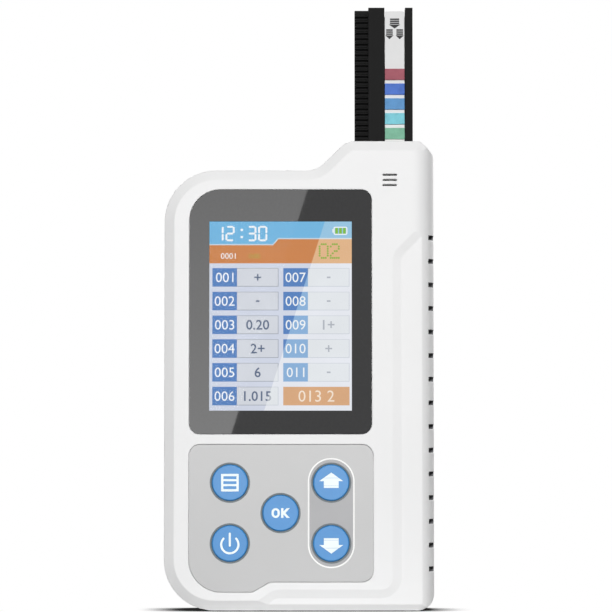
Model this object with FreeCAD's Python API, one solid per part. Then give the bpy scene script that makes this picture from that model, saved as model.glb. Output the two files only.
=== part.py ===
"""Hand-held urine test strip analyzer with a motor-driven strip tray.

Millimetres. The case stands on its bottom end: +Z up, the keypad and the screen face -Y.
The origin is the middle of the footprint at the bottom. Every sub-part is one STEP file in parts/.
"""
import FreeCAD, Part
import math
import os

V = FreeCAD.Vector
X_AXIS, Y_AXIS, Z_AXIS = V(1, 0, 0), V(0, 1, 0), V(0, 0, 1)

# ---------------------------------------------------------------- case
case_width = 73.0
case_depth = 30.0           # keys to rubber feet
shoulder_height = 119.0     # top of the left part of the case
tower_rise = 8.0            # how far the tray tower stands above the shoulder
key_proud = 0.4             # keys above the front face
foot_proud = 0.6            # rubber feet above the rear face
wall = 2.0
case_chamfer_in = 2.7       # perimeter chamfer, measured in the face
case_chamfer_deep = 1.6     # perimeter chamfer, measured in depth
top_left_r = 14.0
bottom_left_r = 13.6
bottom_right_r = 4.7
tower_slope_in = 6.48       # middle of the slope up to the tower, left of the tray
tower_slope_deg = 44.6
tower_slope_r = 6.2
tower_cut = 3.7             # slanted corner at the right of the tower
tower_cut_r = 1.75
flank_r = 6.0               # long rounded edges of the grip side
parting_y = 2.0             # plane between the two case halves
joint_gap = 0.02            # air between the case halves
lip_t, lip_rise, lip_gap = 0.9, 1.2, 0.1
fit_gap = 0.12              # parts set into pockets of the case

half_w = case_width / 2
left_x, right_x = -half_w, half_w
front_y = -case_depth / 2 + key_proud
rear_y = case_depth / 2 - foot_proud
inner_front_y = front_y + wall
inner_rear_y = rear_y - wall
tower_height = shoulder_height + tower_rise

# lowered grip field, an L along the right side and the bottom of the front
field_deep = 0.6
field_step_w = 2.3
field_x = right_x - 10.1
field_z = 4.46
field_top_z = tower_height - 31.1
field_left_x = left_x + 29.9
field_corner_r = 4.5
field_bend_r = 4.0
field_end_deg = 35.0

# grip slots in the right side
slot_count = 15
slot_pitch = 6.4
slot_low_z = 11.16
slot_h = 1.2
slot_deep = 1.5
slot_end = 1.9              # from the front and rear faces to the ends of a slot

# ---------------------------------------------------------------- screen and keypad
lens_x0, lens_w = left_x + 6.8, 49.25
lens_z1, lens_h = shoulder_height - 5.4, 66.1
lens_x1, lens_z0 = lens_x0 + lens_w, lens_z1 - lens_h
lens_r_top_left, lens_r = 8.4, 2.85
lens_t = 0.9
tape_t = 0.2
tape_w = 2.0
tape_margin = 0.4
view_side, view_top = 5.4, 8.7  # edge of the lens to the lit area
view_w, view_h = 38.5, 51.1
view_x, view_z = lens_x0 + view_side + view_w / 2, lens_z1 - view_top - view_h / 2
window_gap = 0.6            # case window round the lit area
panel_t = 1.3
panel_side, panel_top, panel_foot = 2.9, 2.6, 4.3
panel_frame_wall = 0.8
gasket_t = 0.4
flex_w, flex_t, flex_bend_r = 16.0, 0.2, 1.0
flex_straight = 1.8
connector_h, connector_d = 1.2, 1.8

pad_x0, pad_w = lens_x0 - 0.05, 49.65
pad_x1 = pad_x0 + pad_w
pad_top_z, pad_h = lens_z0 - 2.9, 39.6
pad_left_z = pad_top_z - pad_h
pad_step = 2.72             # the right part of the lower edge is this much higher
pad_right_z = pad_left_z + pad_step
pad_slope_x = pad_x0 + 19.5
pad_slope_deg = 30.0
pad_slope_r = 2.2
pad_r, pad_r_bottom_left = 3.0, 8.8
pad_pocket = 0.8
pad_t = 0.9
key_apart, key_rise = 13.65, 8.17
key_mid_x, key_mid_z = view_x, pad_top_z - 18.4
key_r = 4.9
key_hole_gap = 0.3
key_ring_gap = 0.45
key_flange_w, key_flange_t = 1.0, 0.8
key_rest_gap = 0.05
key_travel = 0.4
key_stem_r = 1.5
key_stem_in = 1.0           # stem inside its switch at rest
key_chamfer = 0.3
switch_side, switch_bore_gap = 6.0, 0.3
switch_gap = 0.1            # left between flange and switch at the end of the travel

key_places = {
    "menu": (key_mid_x - key_apart, key_mid_z + key_rise),
    "power": (key_mid_x - key_apart, key_mid_z - key_rise),
    "ok": (key_mid_x, key_mid_z),
    "up": (key_mid_x + key_apart, key_mid_z + key_rise),
    "down": (key_mid_x + key_apart, key_mid_z - key_rise),
}
lens_back_y = front_y + lens_t
lens_seat_y = lens_back_y + tape_t
pad_seat_y = front_y + pad_pocket
key_front_y = front_y - key_proud
key_flange_y = inner_front_y + key_rest_gap
key_back_y = key_flange_y + key_flange_t
switch_top_y = key_back_y + key_travel + switch_gap
panel_front_y = inner_front_y + gasket_t
panel_back_y = panel_front_y + panel_t
panel_x0, panel_x1 = view_x - view_w / 2 - panel_side, view_x + view_w / 2 + panel_side
panel_z0, panel_z1 = view_z - view_h / 2 - panel_foot, view_z + view_h / 2 + panel_top
lcd_connector_z = panel_z0 - 6.9

# ---------------------------------------------------------------- strip tray, rack and strip
tray_w, tray_side = 15.98, 5.28     # tray_side: right wall of the tray to the right side of the case
tray_x1 = right_x - tray_side
tray_x0 = tray_x1 - tray_w
tray_out = 38.5             # tray above the tower
tray_top_z = tower_height + tray_out
tray_t = 5.0
tray_front_y = parting_y - 2.0
tray_back_y = tray_front_y + tray_t
tray_travel = 35.0
tray_gap = 0.25
rack_w = 3.78
rack_sink = 0.75            # tooth tips behind the front of the tray
rack_top_z = tray_top_z - 0.6
rack_pitch = 1.5
rack_web = 0.3              # teeth rooted this deep in the tray
pinion_teeth = 16
pressure_deg = 20.0
tooth_backlash = 0.16       # taken off each tooth at the pitch line
channel_w, channel_wall = 5.7, 2.06
channel_notch = 1.6         # floor of the channel below the top of the strip
channel_x1 = tray_x1 - channel_wall
channel_x0 = channel_x1 - channel_w
channel_mid_x = (channel_x0 + channel_x1) / 2
channel_floor_y = tray_front_y + 2.4

strip_w, strip_t, strip_len = 5.4, 0.4, 61.2
strip_seat_gap = 0.03
strip_top_gap = 0.7         # strip below the top of the tray
pad_count = 11
pad_pitch, pad_len, pad_thick = 4.11, 3.06, 0.5
handle_len = 16.05
strip_top_z = tray_top_z - strip_top_gap
strip_foot_z = strip_top_z - strip_len
channel_low_z = strip_foot_z - strip_seat_gap
tray_foot_z = channel_low_z - 7.9
tile_h, tile_t = 3.4, 0.9
tile_z = channel_low_z - 2.9

# ---------------------------------------------------------------- drive and tray guide
gear_module = rack_pitch / math.pi
addendum, dedendum = gear_module, 1.25 * gear_module
pitch_r = gear_module * pinion_teeth / 2
rack_pitch_y = tray_front_y + addendum + rack_sink
mesh_gap = 0.06             # added to the centre distance
pinion_y = rack_pitch_y - pitch_r - mesh_gap
pinion_z = tower_height - 15.5
pinion_w = 3.2
pinion_side_gap = 0.3
pinion_x0 = tray_x0 + pinion_side_gap
shaft_r, shaft_gap = 0.75, 0.05
shaft_len = 6.2
shaft_in = 2.0              # shaft inside the gearbox
gearbox_side, gearbox_len = 8.0, 9.2
gearbox_x1 = pinion_x0 + pinion_w + pinion_side_gap - shaft_len
gearbox_x0 = gearbox_x1 - gearbox_len
motor_r, motor_len = 4.0, 14.0
motor_x0 = gearbox_x0 - motor_len
motor_boss = 0.8
motor_lead_r, motor_lead_apart = 0.3, 4.6
motor_lead_out, motor_lead_side, motor_lead_drop = 5.0, 2.6, 8.5

guide_t = 1.2
guide_side_t = 0.8
guide_side_rise = 1.0
guide_lip_t, guide_lip_w = 0.75, 1.0
guide_x0, guide_x1 = tray_x0 - tray_gap - guide_side_t, tray_x1 + tray_gap + guide_side_t
guide_front_y = tray_back_y + tray_gap
guide_back_y = guide_front_y + guide_t
guide_low_z, guide_top_z = tray_foot_z - tray_travel - 3.8, tower_height - 5.5
guide_lip_top_z = pinion_z - 8.5
cradle_x0 = motor_x0 - 3.3
cradle_z0, cradle_z1 = pinion_z - 8.5, pinion_z + 4.1
cradle_wrap = 1.6           # how far the snap ribs reach past the motor axis
rib_t, rib_in = 1.6, 2.2
rib_z = 5.1
tab_x, tab_r = guide_x0 - 3.4, 3.0
home_t, home_gap, home_lift = 3.0, 0.4, 0.4

# ---------------------------------------------------------------- optical head
port_apart = 12.2
port_z_low, port_z_high = tile_z, tile_z + port_apart
head_side = 0.95            # head beside the channel
head_x0, head_x1 = channel_x0 - head_side, channel_x1 + head_side
head_z0, head_z1 = port_z_low - 5.0, port_z_high + 5.2
head_gap = 0.4              # air between head and tray
head_t = 5.6
head_back_y = tray_front_y - head_gap
head_front_y = head_back_y - head_t
port_r, led_r, led_offset = 1.5, 1.0, 3.2
led_gap, led_h, diode_h = 0.1, 2.0, 1.2
sensor_board_t = 1.2
sensor_front_y = head_front_y - sensor_board_t
sensor_x0, sensor_x1 = channel_mid_x - 5.5, right_x - 3.5
ribbon_w, ribbon_edge, ribbon_straight, ribbon_margin = 5.0, 1.0, 1.0, 0.8

# ---------------------------------------------------------------- buzzer
buzzer_slot_count = 3
buzzer_slot_w, buzzer_slot_h, buzzer_slot_pitch = 3.9, 0.5, 1.4
buzzer_x, buzzer_z = right_x - 12.0, tower_height - 10.7
buzzer_r, buzzer_h = 4.5, 3.0

# ---------------------------------------------------------------- main board
board_t = 1.6
board_y = inner_front_y + 4.4       # front face of the main board
board_back_y = board_y + board_t
board_x0, board_x1 = left_x + 3.5, right_x - 3.7
board_z0, board_z1 = 4.2, pinion_z - motor_r - 0.5
board_step_x, board_step_z = sensor_x0 - 2.0, head_z0 - 1.3
board_post_r, board_hole_r = 2.3, 1.1
board_r_left_low, board_r_left_top = 10.0, 8.0
board_r_right_low, board_r_step = 5.0, 0.5
boss_clear = 0.5
chips = {                   # x, z, width, height, thickness on the rear of the main board
    "processor_chip": (view_x - 7.0, view_z + 6.6, 14.0, 14.0, 1.4),
    "motor_driver_chip": (view_x - 15.0, view_z - 9.4, 5.0, 6.2, 1.5),
    "charger_chip": (left_x + 9.5, pad_top_z + 6.35, 4.0, 5.0, 1.2),
}
usb_z, usb_w, usb_h, usb_len = pad_top_z - 0.6, 7.6, 2.8, 5.4
usb_gap, usb_skin = 0.35, 0.3

# ---------------------------------------------------------------- battery and its door
cell_x, cell_z0 = left_x + 31.5, 9.6
cell_w, cell_h, cell_t = 30.0, 43.0, 9.0
cell_r = 2.0
cell_back_y = inner_rear_y - 2.0
cell_front_y = cell_back_y - cell_t
opening_margin = 0.9
opening_w = cell_w + 2 * opening_margin
opening_z0, opening_z1 = cell_z0 - opening_margin, cell_z0 + cell_h + opening_margin
room_extra, room_wall = 1.5, 1.0
door_x, door_w = cell_x, opening_w + 4.2
door_top_z, door_low_z = opening_z1 + 3.1, 0.9
door_t = 1.15
door_gap = 0.2
door_seat_y = rear_y - door_t - fit_gap
door_travel = 12.0
hook_z = (opening_z0 + 14.3, opening_z1 - 9.4)
hook_len, hook_t, hook_reach = 4.0, 1.0, 1.2
plug_w, plug_h, plug_t = 6.0, 5.0, 4.0
plug_x, plug_z = cell_x + 8.2, cell_z0 + cell_h + 14.0
lead_r, lead_apart, lead_straight = 0.5, 2.2, 5.6
notch_w = 5.5

# ---------------------------------------------------------------- fasteners and feet, placed by (x, z)
case_screws = (
    (left_x + 6.5, shoulder_height - 8.0),
    (tray_x0 - 5.08, tower_height - 8.2),
    (left_x + 5.3, pad_top_z + 11.4),
    (right_x - 5.5, guide_low_z - 4.0),
    (left_x + 7.0, 9.6),
    (right_x - 6.1, 7.4),
)
case_boss_r = 2.9
screw_r, screw_head_r, screw_head_h = 1.0, 1.9, 1.4
pilot_gap = 0.03
head_clear, shank_clear = 0.4, 0.15
screw_seat_y = parting_y + 3.0
screw_bite = 7.0
small_screw_r, small_head_r, small_head_h = 0.8, 1.5, 1.0
small_bite = 2.6            # thread length in a post
board_screws = (
    (left_x + 5.9, view_z + 4.6),
    (left_x + 5.9, pad_top_z - 14.6),
    (right_x - 13.5, board_step_z - 9.5),
    (right_x - 13.9, board_z0 + 9.8),
)
sensor_screws = ((sensor_x1 - 1.3, port_z_low + 0.8), (sensor_x1 - 1.3, port_z_high + 2.0))
guide_screws = ((tab_x, guide_low_z + 14.0), (tab_x, guide_low_z + 41.0), (cradle_x0 + 2.6, cradle_z0 + 4.0))
feet = (
    (left_x + 9.5, shoulder_height - 21.0),
    (right_x - 12.0, tower_height - 23.0),
    (left_x + 8.0, 21.5),
    (right_x - 12.5, 19.0),
)
foot_r, foot_pocket = 3.5, 0.6
far = 200.0                 # tools that cut everything on one side reach this far


# ---------------------------------------------------------------- helpers
def save(name, shape):
    """Write one sub-part; a lone solid is unwrapped from its compound."""
    shape = shape.removeSplitter()
    if len(shape.Solids) == 1:
        shape = shape.Solids[0]
    shape.exportStep(f"parts/{name}.step")


def box(x0, x1, y0, y1, z0, z1):
    return Part.makeBox(x1 - x0, y1 - y0, z1 - z0, V(x0, y0, z0))


def cylinder_y(x, z, r, y0, y1):
    return Part.makeCylinder(r, y1 - y0, V(x, y0, z), Y_AXIS)


def cylinder_x(y, z, r, x0, x1):
    return Part.makeCylinder(r, x1 - x0, V(x0, y, z), X_AXIS)


def fuse(shapes):
    shapes = list(shapes)
    return shapes[0].fuse(shapes[1:]) if len(shapes) > 1 else shapes[0]


def cut(shape, tools):
    return shape.cut(list(tools))


def offset_points(points, insets):
    """Move each side of a closed polygon inwards by its own inset; the polygon runs clockwise."""
    lines = []
    for (a, b), inset in zip(zip(points, points[1:] + points[:1]), insets):
        length = math.hypot(b[0] - a[0], b[1] - a[1])
        ux, uz = (b[0] - a[0]) / length, (b[1] - a[1]) / length
        lines.append((a[0] + uz * inset, a[1] - ux * inset, ux, uz))
    moved = []
    for (px, pz, ux, uz), (qx, qz, vx, vz) in zip(lines[-1:] + lines[:-1], lines):
        cross = ux * vz - uz * vx
        t = ((qx - px) * vz - (qz - pz) * vx) / cross
        moved.append((px + ux * t, pz + uz * t))
    return moved


def rounded_wire(points, radii, place):
    """Closed wire of straight sides and tangent arcs; place(u, v) puts a point into space."""
    starts, edges = [], []
    for i, ((u, v), r) in enumerate(zip(points, radii)):
        before, after = points[i - 1], points[(i + 1) % len(points)]
        ends = []
        for other in (before, after):
            length = math.hypot(other[0] - u, other[1] - v)
            ends.append(((other[0] - u) / length, (other[1] - v) / length))
        (au, av), (bu, bv) = ends
        half = math.acos(max(-1.0, min(1.0, au * bu + av * bv))) / 2
        back = r / math.tan(half)
        mid_u, mid_v = au + bu, av + bv
        scale = (r / math.sin(half) - r) / math.hypot(mid_u, mid_v)
        starts.append((
            place(u + au * back, v + av * back),
            place(u + mid_u * scale, v + mid_v * scale),
            place(u + bu * back, v + bv * back),
        ))
    for here, following in zip(starts, starts[1:] + starts[:1]):
        edges.append(Part.Arc(*here).toShape())
        edges.append(Part.LineSegment(here[2], following[0]).toShape())
    return Part.Wire(edges)


def plane_y(y):
    return lambda u, v: V(u, y, v)


def turns(points):
    """+1 where a clockwise polygon turns outwards, -1 where it turns inwards."""
    signs = []
    for i, (u, v) in enumerate(points):
        (au, av), (bu, bv) = points[i - 1], points[(i + 1) % len(points)]
        cross = (u - au) * (bv - v) - (v - av) * (bu - u)
        signs.append(1 if cross < 0 else -1)
    return signs


def inset_radii(points, radii, insets):
    """Radii that stay concentric when the sides move inwards, never below a small edge radius."""
    smallest = 0.2
    result = []
    for i, (sign, r) in enumerate(zip(turns(points), radii)):
        inset = max(insets[i], insets[i - 1], key=abs)
        result.append(max(smallest, r - sign * inset))
    return result


def outline_wire(points, radii, insets, y):
    return rounded_wire(offset_points(points, insets), inset_radii(points, radii, insets), plane_y(y))


def plate(points, radii, y0, y1, inset=0.0):
    """Flat piece between two depths from a rounded outline."""
    wire = outline_wire(points, radii, [inset] * len(points), y0)
    return Part.Face(wire).extrude(V(0, y1 - y0, 0))


def rounded_box(x0, x1, y0, y1, z0, z1, r):
    corners = [(x0, z0), (x0, z1), (x1, z1), (x1, z0)]
    return plate(corners, [r] * 4, y0, y1)


def ribbon(path, radii, thickness, x0, x1):
    """Flat flexible strip that follows a path of (y, z) points with rounded bends."""
    def side(distance):
        result = []
        for i, (y, z) in enumerate(path):
            normals = []
            for a, b in ((i - 1, i), (i, i + 1)):
                if a < 0 or b >= len(path):
                    continue
                length = math.hypot(path[b][0] - path[a][0], path[b][1] - path[a][1])
                normals.append((-(path[b][1] - path[a][1]) / length, (path[b][0] - path[a][0]) / length))
            ny = sum(n[0] for n in normals) / len(normals)
            nz = sum(n[1] for n in normals) / len(normals)
            scale = distance / (ny * ny + nz * nz)
            result.append((y + ny * scale, z + nz * scale))
        return result

    def bent(points, sign):
        edges, last = [], V(x0, *points[0])
        for i in range(1, len(points) - 1):
            (ay, az), (by, bz), (cy, cz) = points[i - 1], points[i], points[i + 1]
            la, lc = math.hypot(ay - by, az - bz), math.hypot(cy - by, cz - bz)
            a, c = ((ay - by) / la, (az - bz) / la), ((cy - by) / lc, (cz - bz) / lc)
            turn = (by - ay) * (cz - bz) - (bz - az) * (cy - by)
            r = radii[i - 1] + (1 if turn < 0 else -1) * sign * thickness / 2
            half = math.acos(a[0] * c[0] + a[1] * c[1]) / 2
            back = r / math.tan(half)
            mid = (a[0] + c[0], a[1] + c[1])
            scale = (r / math.sin(half) - r) / math.hypot(*mid)
            start = V(x0, by + a[0] * back, bz + a[1] * back)
            top = V(x0, by + mid[0] * scale, bz + mid[1] * scale)
            end = V(x0, by + c[0] * back, bz + c[1] * back)
            edges += [Part.LineSegment(last, start).toShape(), Part.Arc(start, top, end).toShape()]
            last = end
        edges.append(Part.LineSegment(last, V(x0, *points[-1])).toShape())
        return edges

    left, right = side(thickness / 2), side(-thickness / 2)
    edges = bent(left, 1) + [Part.LineSegment(V(x0, *left[-1]), V(x0, *right[-1])).toShape()]
    edges += bent(right, -1) + [Part.LineSegment(V(x0, *right[0]), V(x0, *left[0])).toShape()]
    wire = Part.Wire(Part.__sortEdges__(edges))
    return Part.Face(wire).extrude(V(x1 - x0, 0, 0))


def wire_lead(points, r):
    """Round wire along straight runs joined by tangent arcs; returns the solid and the arc radii."""
    points = [V(*p) for p in points]
    edges, bends, last = [], [], points[0]
    for before, here, after in zip(points, points[1:], points[2:]):
        a, b = before - here, after - here
        run = min(a.Length, b.Length)
        a, b = a.normalize(), b.normalize()
        turn = math.pi - a.getAngle(b)
        bend = 0.45 * run / math.tan(turn / 2)
        half = a.getAngle(b) / 2
        back = bend / math.tan(half)
        middle = (a + b).normalize() * (bend / math.sin(half) - bend)
        start, end = here + a * back, here + b * back
        edges += [Part.LineSegment(last, start).toShape(), Part.Arc(start, here + middle, end).toShape()]
        last = end
        bends.append(bend)
    edges.append(Part.LineSegment(last, points[-1]).toShape())
    spine = Part.Wire(edges)
    section = Part.Wire(Part.Circle(points[0], points[1] - points[0], r).toShape())
    tube = spine.makePipeShell([section], True, True)
    return tube, bends, spine.Length


# ---------------------------------------------------------------- case
def case_outline():
    """Front view of the case, clockwise from the bottom left."""
    run = tower_rise / 2 / math.tan(math.radians(tower_slope_deg))
    slope_x = tray_x0 - tower_slope_in
    points = [
        (-half_w, 0.0),
        (-half_w, shoulder_height),
        (slope_x - run, shoulder_height),
        (slope_x + run, tower_height),
        (half_w - tower_cut, tower_height),
        (half_w, tower_height - tower_cut),
        (half_w, 0.0),
    ]
    radii = [bottom_left_r, top_left_r, tower_slope_r, tower_slope_r, tower_cut_r, tower_cut_r,
             bottom_right_r]
    return points, radii


def flank_prism(inset):
    """Upright prism that rounds the two long edges of the grip side."""
    x, y0, y1 = half_w - inset, front_y + inset, rear_y - inset
    corners = [(-far, y0), (-far, y1), (x, y1), (x, y0)]
    wire = rounded_wire(corners, [1.0, 1.0, flank_r - inset, flank_r - inset], lambda u, v: V(u, v, -1.0))
    return Part.Face(wire).extrude(V(0, 0, far))


def case_solid():
    """Outer form: a prism with chamfered front and rear edges and a rounded grip side."""
    points, radii = case_outline()
    chamfer = [case_chamfer_in] * 5 + [0.0, case_chamfer_in]
    square = [0.0] * len(points)
    shapes = [plate(points, radii, front_y + case_chamfer_deep, rear_y - case_chamfer_deep)]
    for face_y, edge_y in ((front_y, front_y + case_chamfer_deep),
                           (rear_y, rear_y - case_chamfer_deep)):
        wires = [outline_wire(points, radii, square, edge_y), outline_wire(points, radii, chamfer, face_y)]
        shapes.append(Part.makeLoft(wires, True, True))
    return fuse(shapes).common(flank_prism(0.0))


def ring(y0, y1, outer, inner):
    """Band that follows the case outline between two insets."""
    points, radii = case_outline()
    return plate(points, radii, y0, y1, outer).cut(plate(points, radii, y0 - 1, y1 + 1, inner))


def cavity():
    points, radii = case_outline()
    return plate(points, radii, inner_front_y, inner_rear_y, wall).common(flank_prism(wall))


def field_tool():
    """Lowered L-shaped field with a sloped step along its edge."""
    drop = field_z + far
    rise = far - field_x
    points = [
        (field_left_x - drop / math.tan(math.radians(field_end_deg)), -far),
        (field_left_x, field_z),
        (field_x, field_z),
        (field_x, field_top_z),
        (far, field_top_z + rise),
        (far, -far),
    ]
    radii = [1.0, field_bend_r, field_corner_r, field_bend_r, 1.0, 1.0]
    wires = []
    for depth in (-field_deep, field_deep):
        shift = field_step_w * depth / field_deep - field_step_w / 2
        wires.append(outline_wire(points, radii, [shift] * len(points), front_y + depth))
    return Part.makeLoft(wires, True, True)


def grip_slot_tools():
    """Horizontal grooves with round floors, in from the right side."""
    x0, x1 = half_w - slot_deep, half_w + 1.0
    for i in range(slot_count):
        z = slot_low_z + i * slot_pitch
        corners = [(x0, z - slot_h / 2), (x0, z + slot_h / 2), (x1, z + slot_h / 2), (x1, z - slot_h / 2)]
        round_r = slot_h / 2 - 0.01
        yield plate(corners, [round_r, round_r, 0.1, 0.1], front_y + slot_end, rear_y - slot_end)


def buzzer_slot_tools():
    for i in range(buzzer_slot_count):
        z = buzzer_z + (i - (buzzer_slot_count - 1) / 2) * buzzer_slot_pitch
        half_long, half_high = buzzer_slot_w / 2, buzzer_slot_h / 2
        yield rounded_box(buzzer_x - half_long, buzzer_x + half_long, front_y - 1, inner_front_y + 1,
                          z - half_high, z + half_high, half_high - 0.01)


def lens_outline():
    points = [(lens_x0, lens_z0), (lens_x0, lens_z1), (lens_x1, lens_z1), (lens_x1, lens_z0)]
    return points, [lens_r, lens_r_top_left, lens_r, lens_r]


def pad_outline():
    run = (pad_right_z - pad_left_z) / 2 / math.tan(math.radians(pad_slope_deg))
    points = [
        (pad_x0, pad_left_z),
        (pad_x0, pad_top_z),
        (pad_x1, pad_top_z),
        (pad_x1, pad_right_z),
        (pad_slope_x + run, pad_right_z),
        (pad_slope_x - run, pad_left_z),
    ]
    return points, [pad_r_bottom_left, pad_r, pad_r, pad_r, pad_slope_r, pad_slope_r]


def window_tool(y0, y1, extra=0.0):
    half_x, half_z = view_w / 2 + window_gap + extra, view_h / 2 + window_gap + extra
    return box(view_x - half_x, view_x + half_x, y0, y1, view_z - half_z, view_z + half_z)


def tray_slot_tool():
    """Opening in the top of the tower that the tray runs through."""
    return box(tray_x0 - tray_gap, tray_x1 + tray_gap, tray_front_y - tray_gap, tray_back_y + tray_gap,
               tower_height - 2 * wall, tower_height + 1)


def usb_slot_tool():
    half_long = usb_w / 2 + usb_gap
    return box(-half_w - 1, -half_w + 2 * wall, board_back_y - usb_gap, board_back_y + usb_h + usb_gap,
               usb_z - half_long, usb_z + half_long)


def front_shell():
    front = box(-far, far, -far, parting_y - joint_gap / 2, -far, far)
    outer = case_solid()
    posts = [cylinder_y(x, z, case_boss_r, inner_front_y - wall / 4, parting_y - joint_gap / 2)
             for x, z in case_screws]
    posts += [cylinder_y(x, z, board_post_r, inner_front_y - wall / 4, board_y) for x, z in board_screws]
    posts += [cylinder_y(x, z, board_post_r, inner_front_y - wall / 4, sensor_front_y)
              for x, z in sensor_screws]
    lip = ring(parting_y - lip_rise, parting_y + lip_rise, wall - lip_t, wall)
    shell = fuse([outer.cut(cavity()).common(front), lip] + [post.common(outer) for post in posts])
    tools = [field_tool(), tray_slot_tool(), usb_slot_tool(), window_tool(front_y - 1, inner_front_y + 1)]
    tools += list(grip_slot_tools()) + list(buzzer_slot_tools())
    points, radii = lens_outline()
    tools.append(plate(points, radii, front_y - 1, lens_seat_y, -fit_gap))
    points, radii = pad_outline()
    tools.append(plate(points, radii, front_y - 1, pad_seat_y, -fit_gap))
    for x, z in key_places.values():
        tools.append(cylinder_y(x, z, key_r + key_hole_gap, front_y - 1, inner_front_y + 1))
    for x, z in case_screws:
        tools.append(cylinder_y(x, z, screw_r + pilot_gap, screw_seat_y - screw_bite - 1, parting_y + 1))
    small_pilot = small_screw_r + pilot_gap
    for x, z in board_screws:
        tools.append(cylinder_y(x, z, small_pilot, inner_front_y + 1, board_y + 1))
    for x, z in sensor_screws:
        tools.append(cylinder_y(x, z, small_pilot, inner_front_y + 1, sensor_front_y + 1))
    save("front_shell", cut(shell, tools))


def opening_tool(y0, y1, extra=0.0):
    """Battery opening in the rear of the case, or the room behind it."""
    half = opening_w / 2 + extra
    return box(cell_x - half, cell_x + half, y0, y1, opening_z0, opening_z1)


def rear_shell():
    rear = box(-far, far, parting_y + joint_gap / 2, far, -far, far)
    outer = case_solid()
    half = opening_w / 2 + room_extra + room_wall
    room = box(cell_x - half, cell_x + half, cell_front_y - room_wall, inner_rear_y + wall / 4,
               opening_z0 - room_wall, opening_z1 + room_wall)
    posts = [cylinder_y(x, z, case_boss_r, parting_y + joint_gap / 2, inner_rear_y + wall / 4)
             for x, z in case_screws]
    posts += [cylinder_y(x, z, board_post_r, guide_back_y, inner_rear_y + wall / 4) for x, z in guide_screws]
    shell = fuse([outer.cut(cavity()).common(rear), room] + [post.common(outer) for post in posts])
    groove_y1 = parting_y + lip_rise + lip_gap
    tools = [tray_slot_tool(), ring(0, groove_y1, wall - lip_t - lip_gap, wall + lip_gap)]
    tools += list(grip_slot_tools())
    tools.append(opening_tool(cell_front_y, inner_rear_y, room_extra))
    tools.append(opening_tool(inner_rear_y - 1, rear_y + 1))
    tools.append(box(plug_x - notch_w / 2, plug_x + notch_w / 2, -far, cell_back_y,
                     opening_z1 - room_wall, opening_z1 + 2 * room_wall))
    pocket_half = door_w / 2 + door_gap
    tools.append(box(door_x - pocket_half, door_x + pocket_half, door_seat_y, far,
                     -far, door_top_z + door_gap))
    reach = opening_w / 2 + hook_reach + door_gap
    for z in hook_z:
        tools.append(box(cell_x - reach, cell_x + reach, inner_rear_y - 1, far,
                         z - door_travel - door_gap, z - door_travel + hook_len + door_gap))
    for x, z in case_screws:
        tools.append(cylinder_y(x, z, screw_head_r + head_clear, screw_seat_y, far))
        tools.append(cylinder_y(x, z, screw_r + shank_clear, parting_y - 1, screw_seat_y + 1))
    for x, z in guide_screws:
        tools.append(cylinder_y(x, z, small_screw_r + pilot_gap, guide_back_y - 1, inner_rear_y - 1))
    for x, z in feet:
        tools.append(cylinder_y(x, z, foot_r + fit_gap, rear_y - foot_pocket, far))
    save("rear_shell", cut(shell, tools))


def battery_door():
    """Door that slides off towards the bottom end; four hooks hold it behind the edge of the opening."""
    slab = case_solid().common(box(door_x - door_w / 2, door_x + door_w / 2, rear_y - door_t, far,
                                   door_low_z, door_top_z))
    edge = opening_w / 2 - door_gap
    hook_y1 = inner_rear_y - door_gap
    hooks = []
    for side in (-1, 1):
        for z in hook_z:
            inner, outer = cell_x + side * (edge - hook_t), cell_x + side * edge
            tip = cell_x + side * (edge + hook_reach)
            hooks.append(box(min(inner, outer), max(inner, outer), hook_y1 - hook_t, rear_y - door_t / 2,
                             z, z + hook_len))
            hooks.append(box(min(inner, tip), max(inner, tip), hook_y1 - hook_t, hook_y1, z, z + hook_len))
    save("battery_door", fuse([slab] + hooks))


def rubber_feet():
    save("rubber_feet", Part.makeCompound([
        cylinder_y(x, z, foot_r, rear_y - foot_pocket, rear_y + foot_proud) for x, z in feet]))


def screws(name, places, seat_y, length, r, head_r, head_h, facing=1):
    """Screws with a round head and a cross recess; facing tells which way along Y the heads look."""
    def along(y0, y1):
        return sorted((seat_y + facing * y0, seat_y + facing * y1))

    made = []
    for x, z in places:
        head = cylinder_y(x, z, head_r, *along(0, head_h))
        shank = cylinder_y(x, z, r, *along(-length, 0))
        arm, half = head_r * 0.6, head_r * 0.14
        cross = [box(x - arm, x + arm, *along(head_h / 2, head_h + 1), z - half, z + half),
                 box(x - half, x + half, *along(head_h / 2, head_h + 1), z - arm, z + arm)]
        made.append(cut(head.fuse(shank), cross))
    save(name, Part.makeCompound(made))


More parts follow.
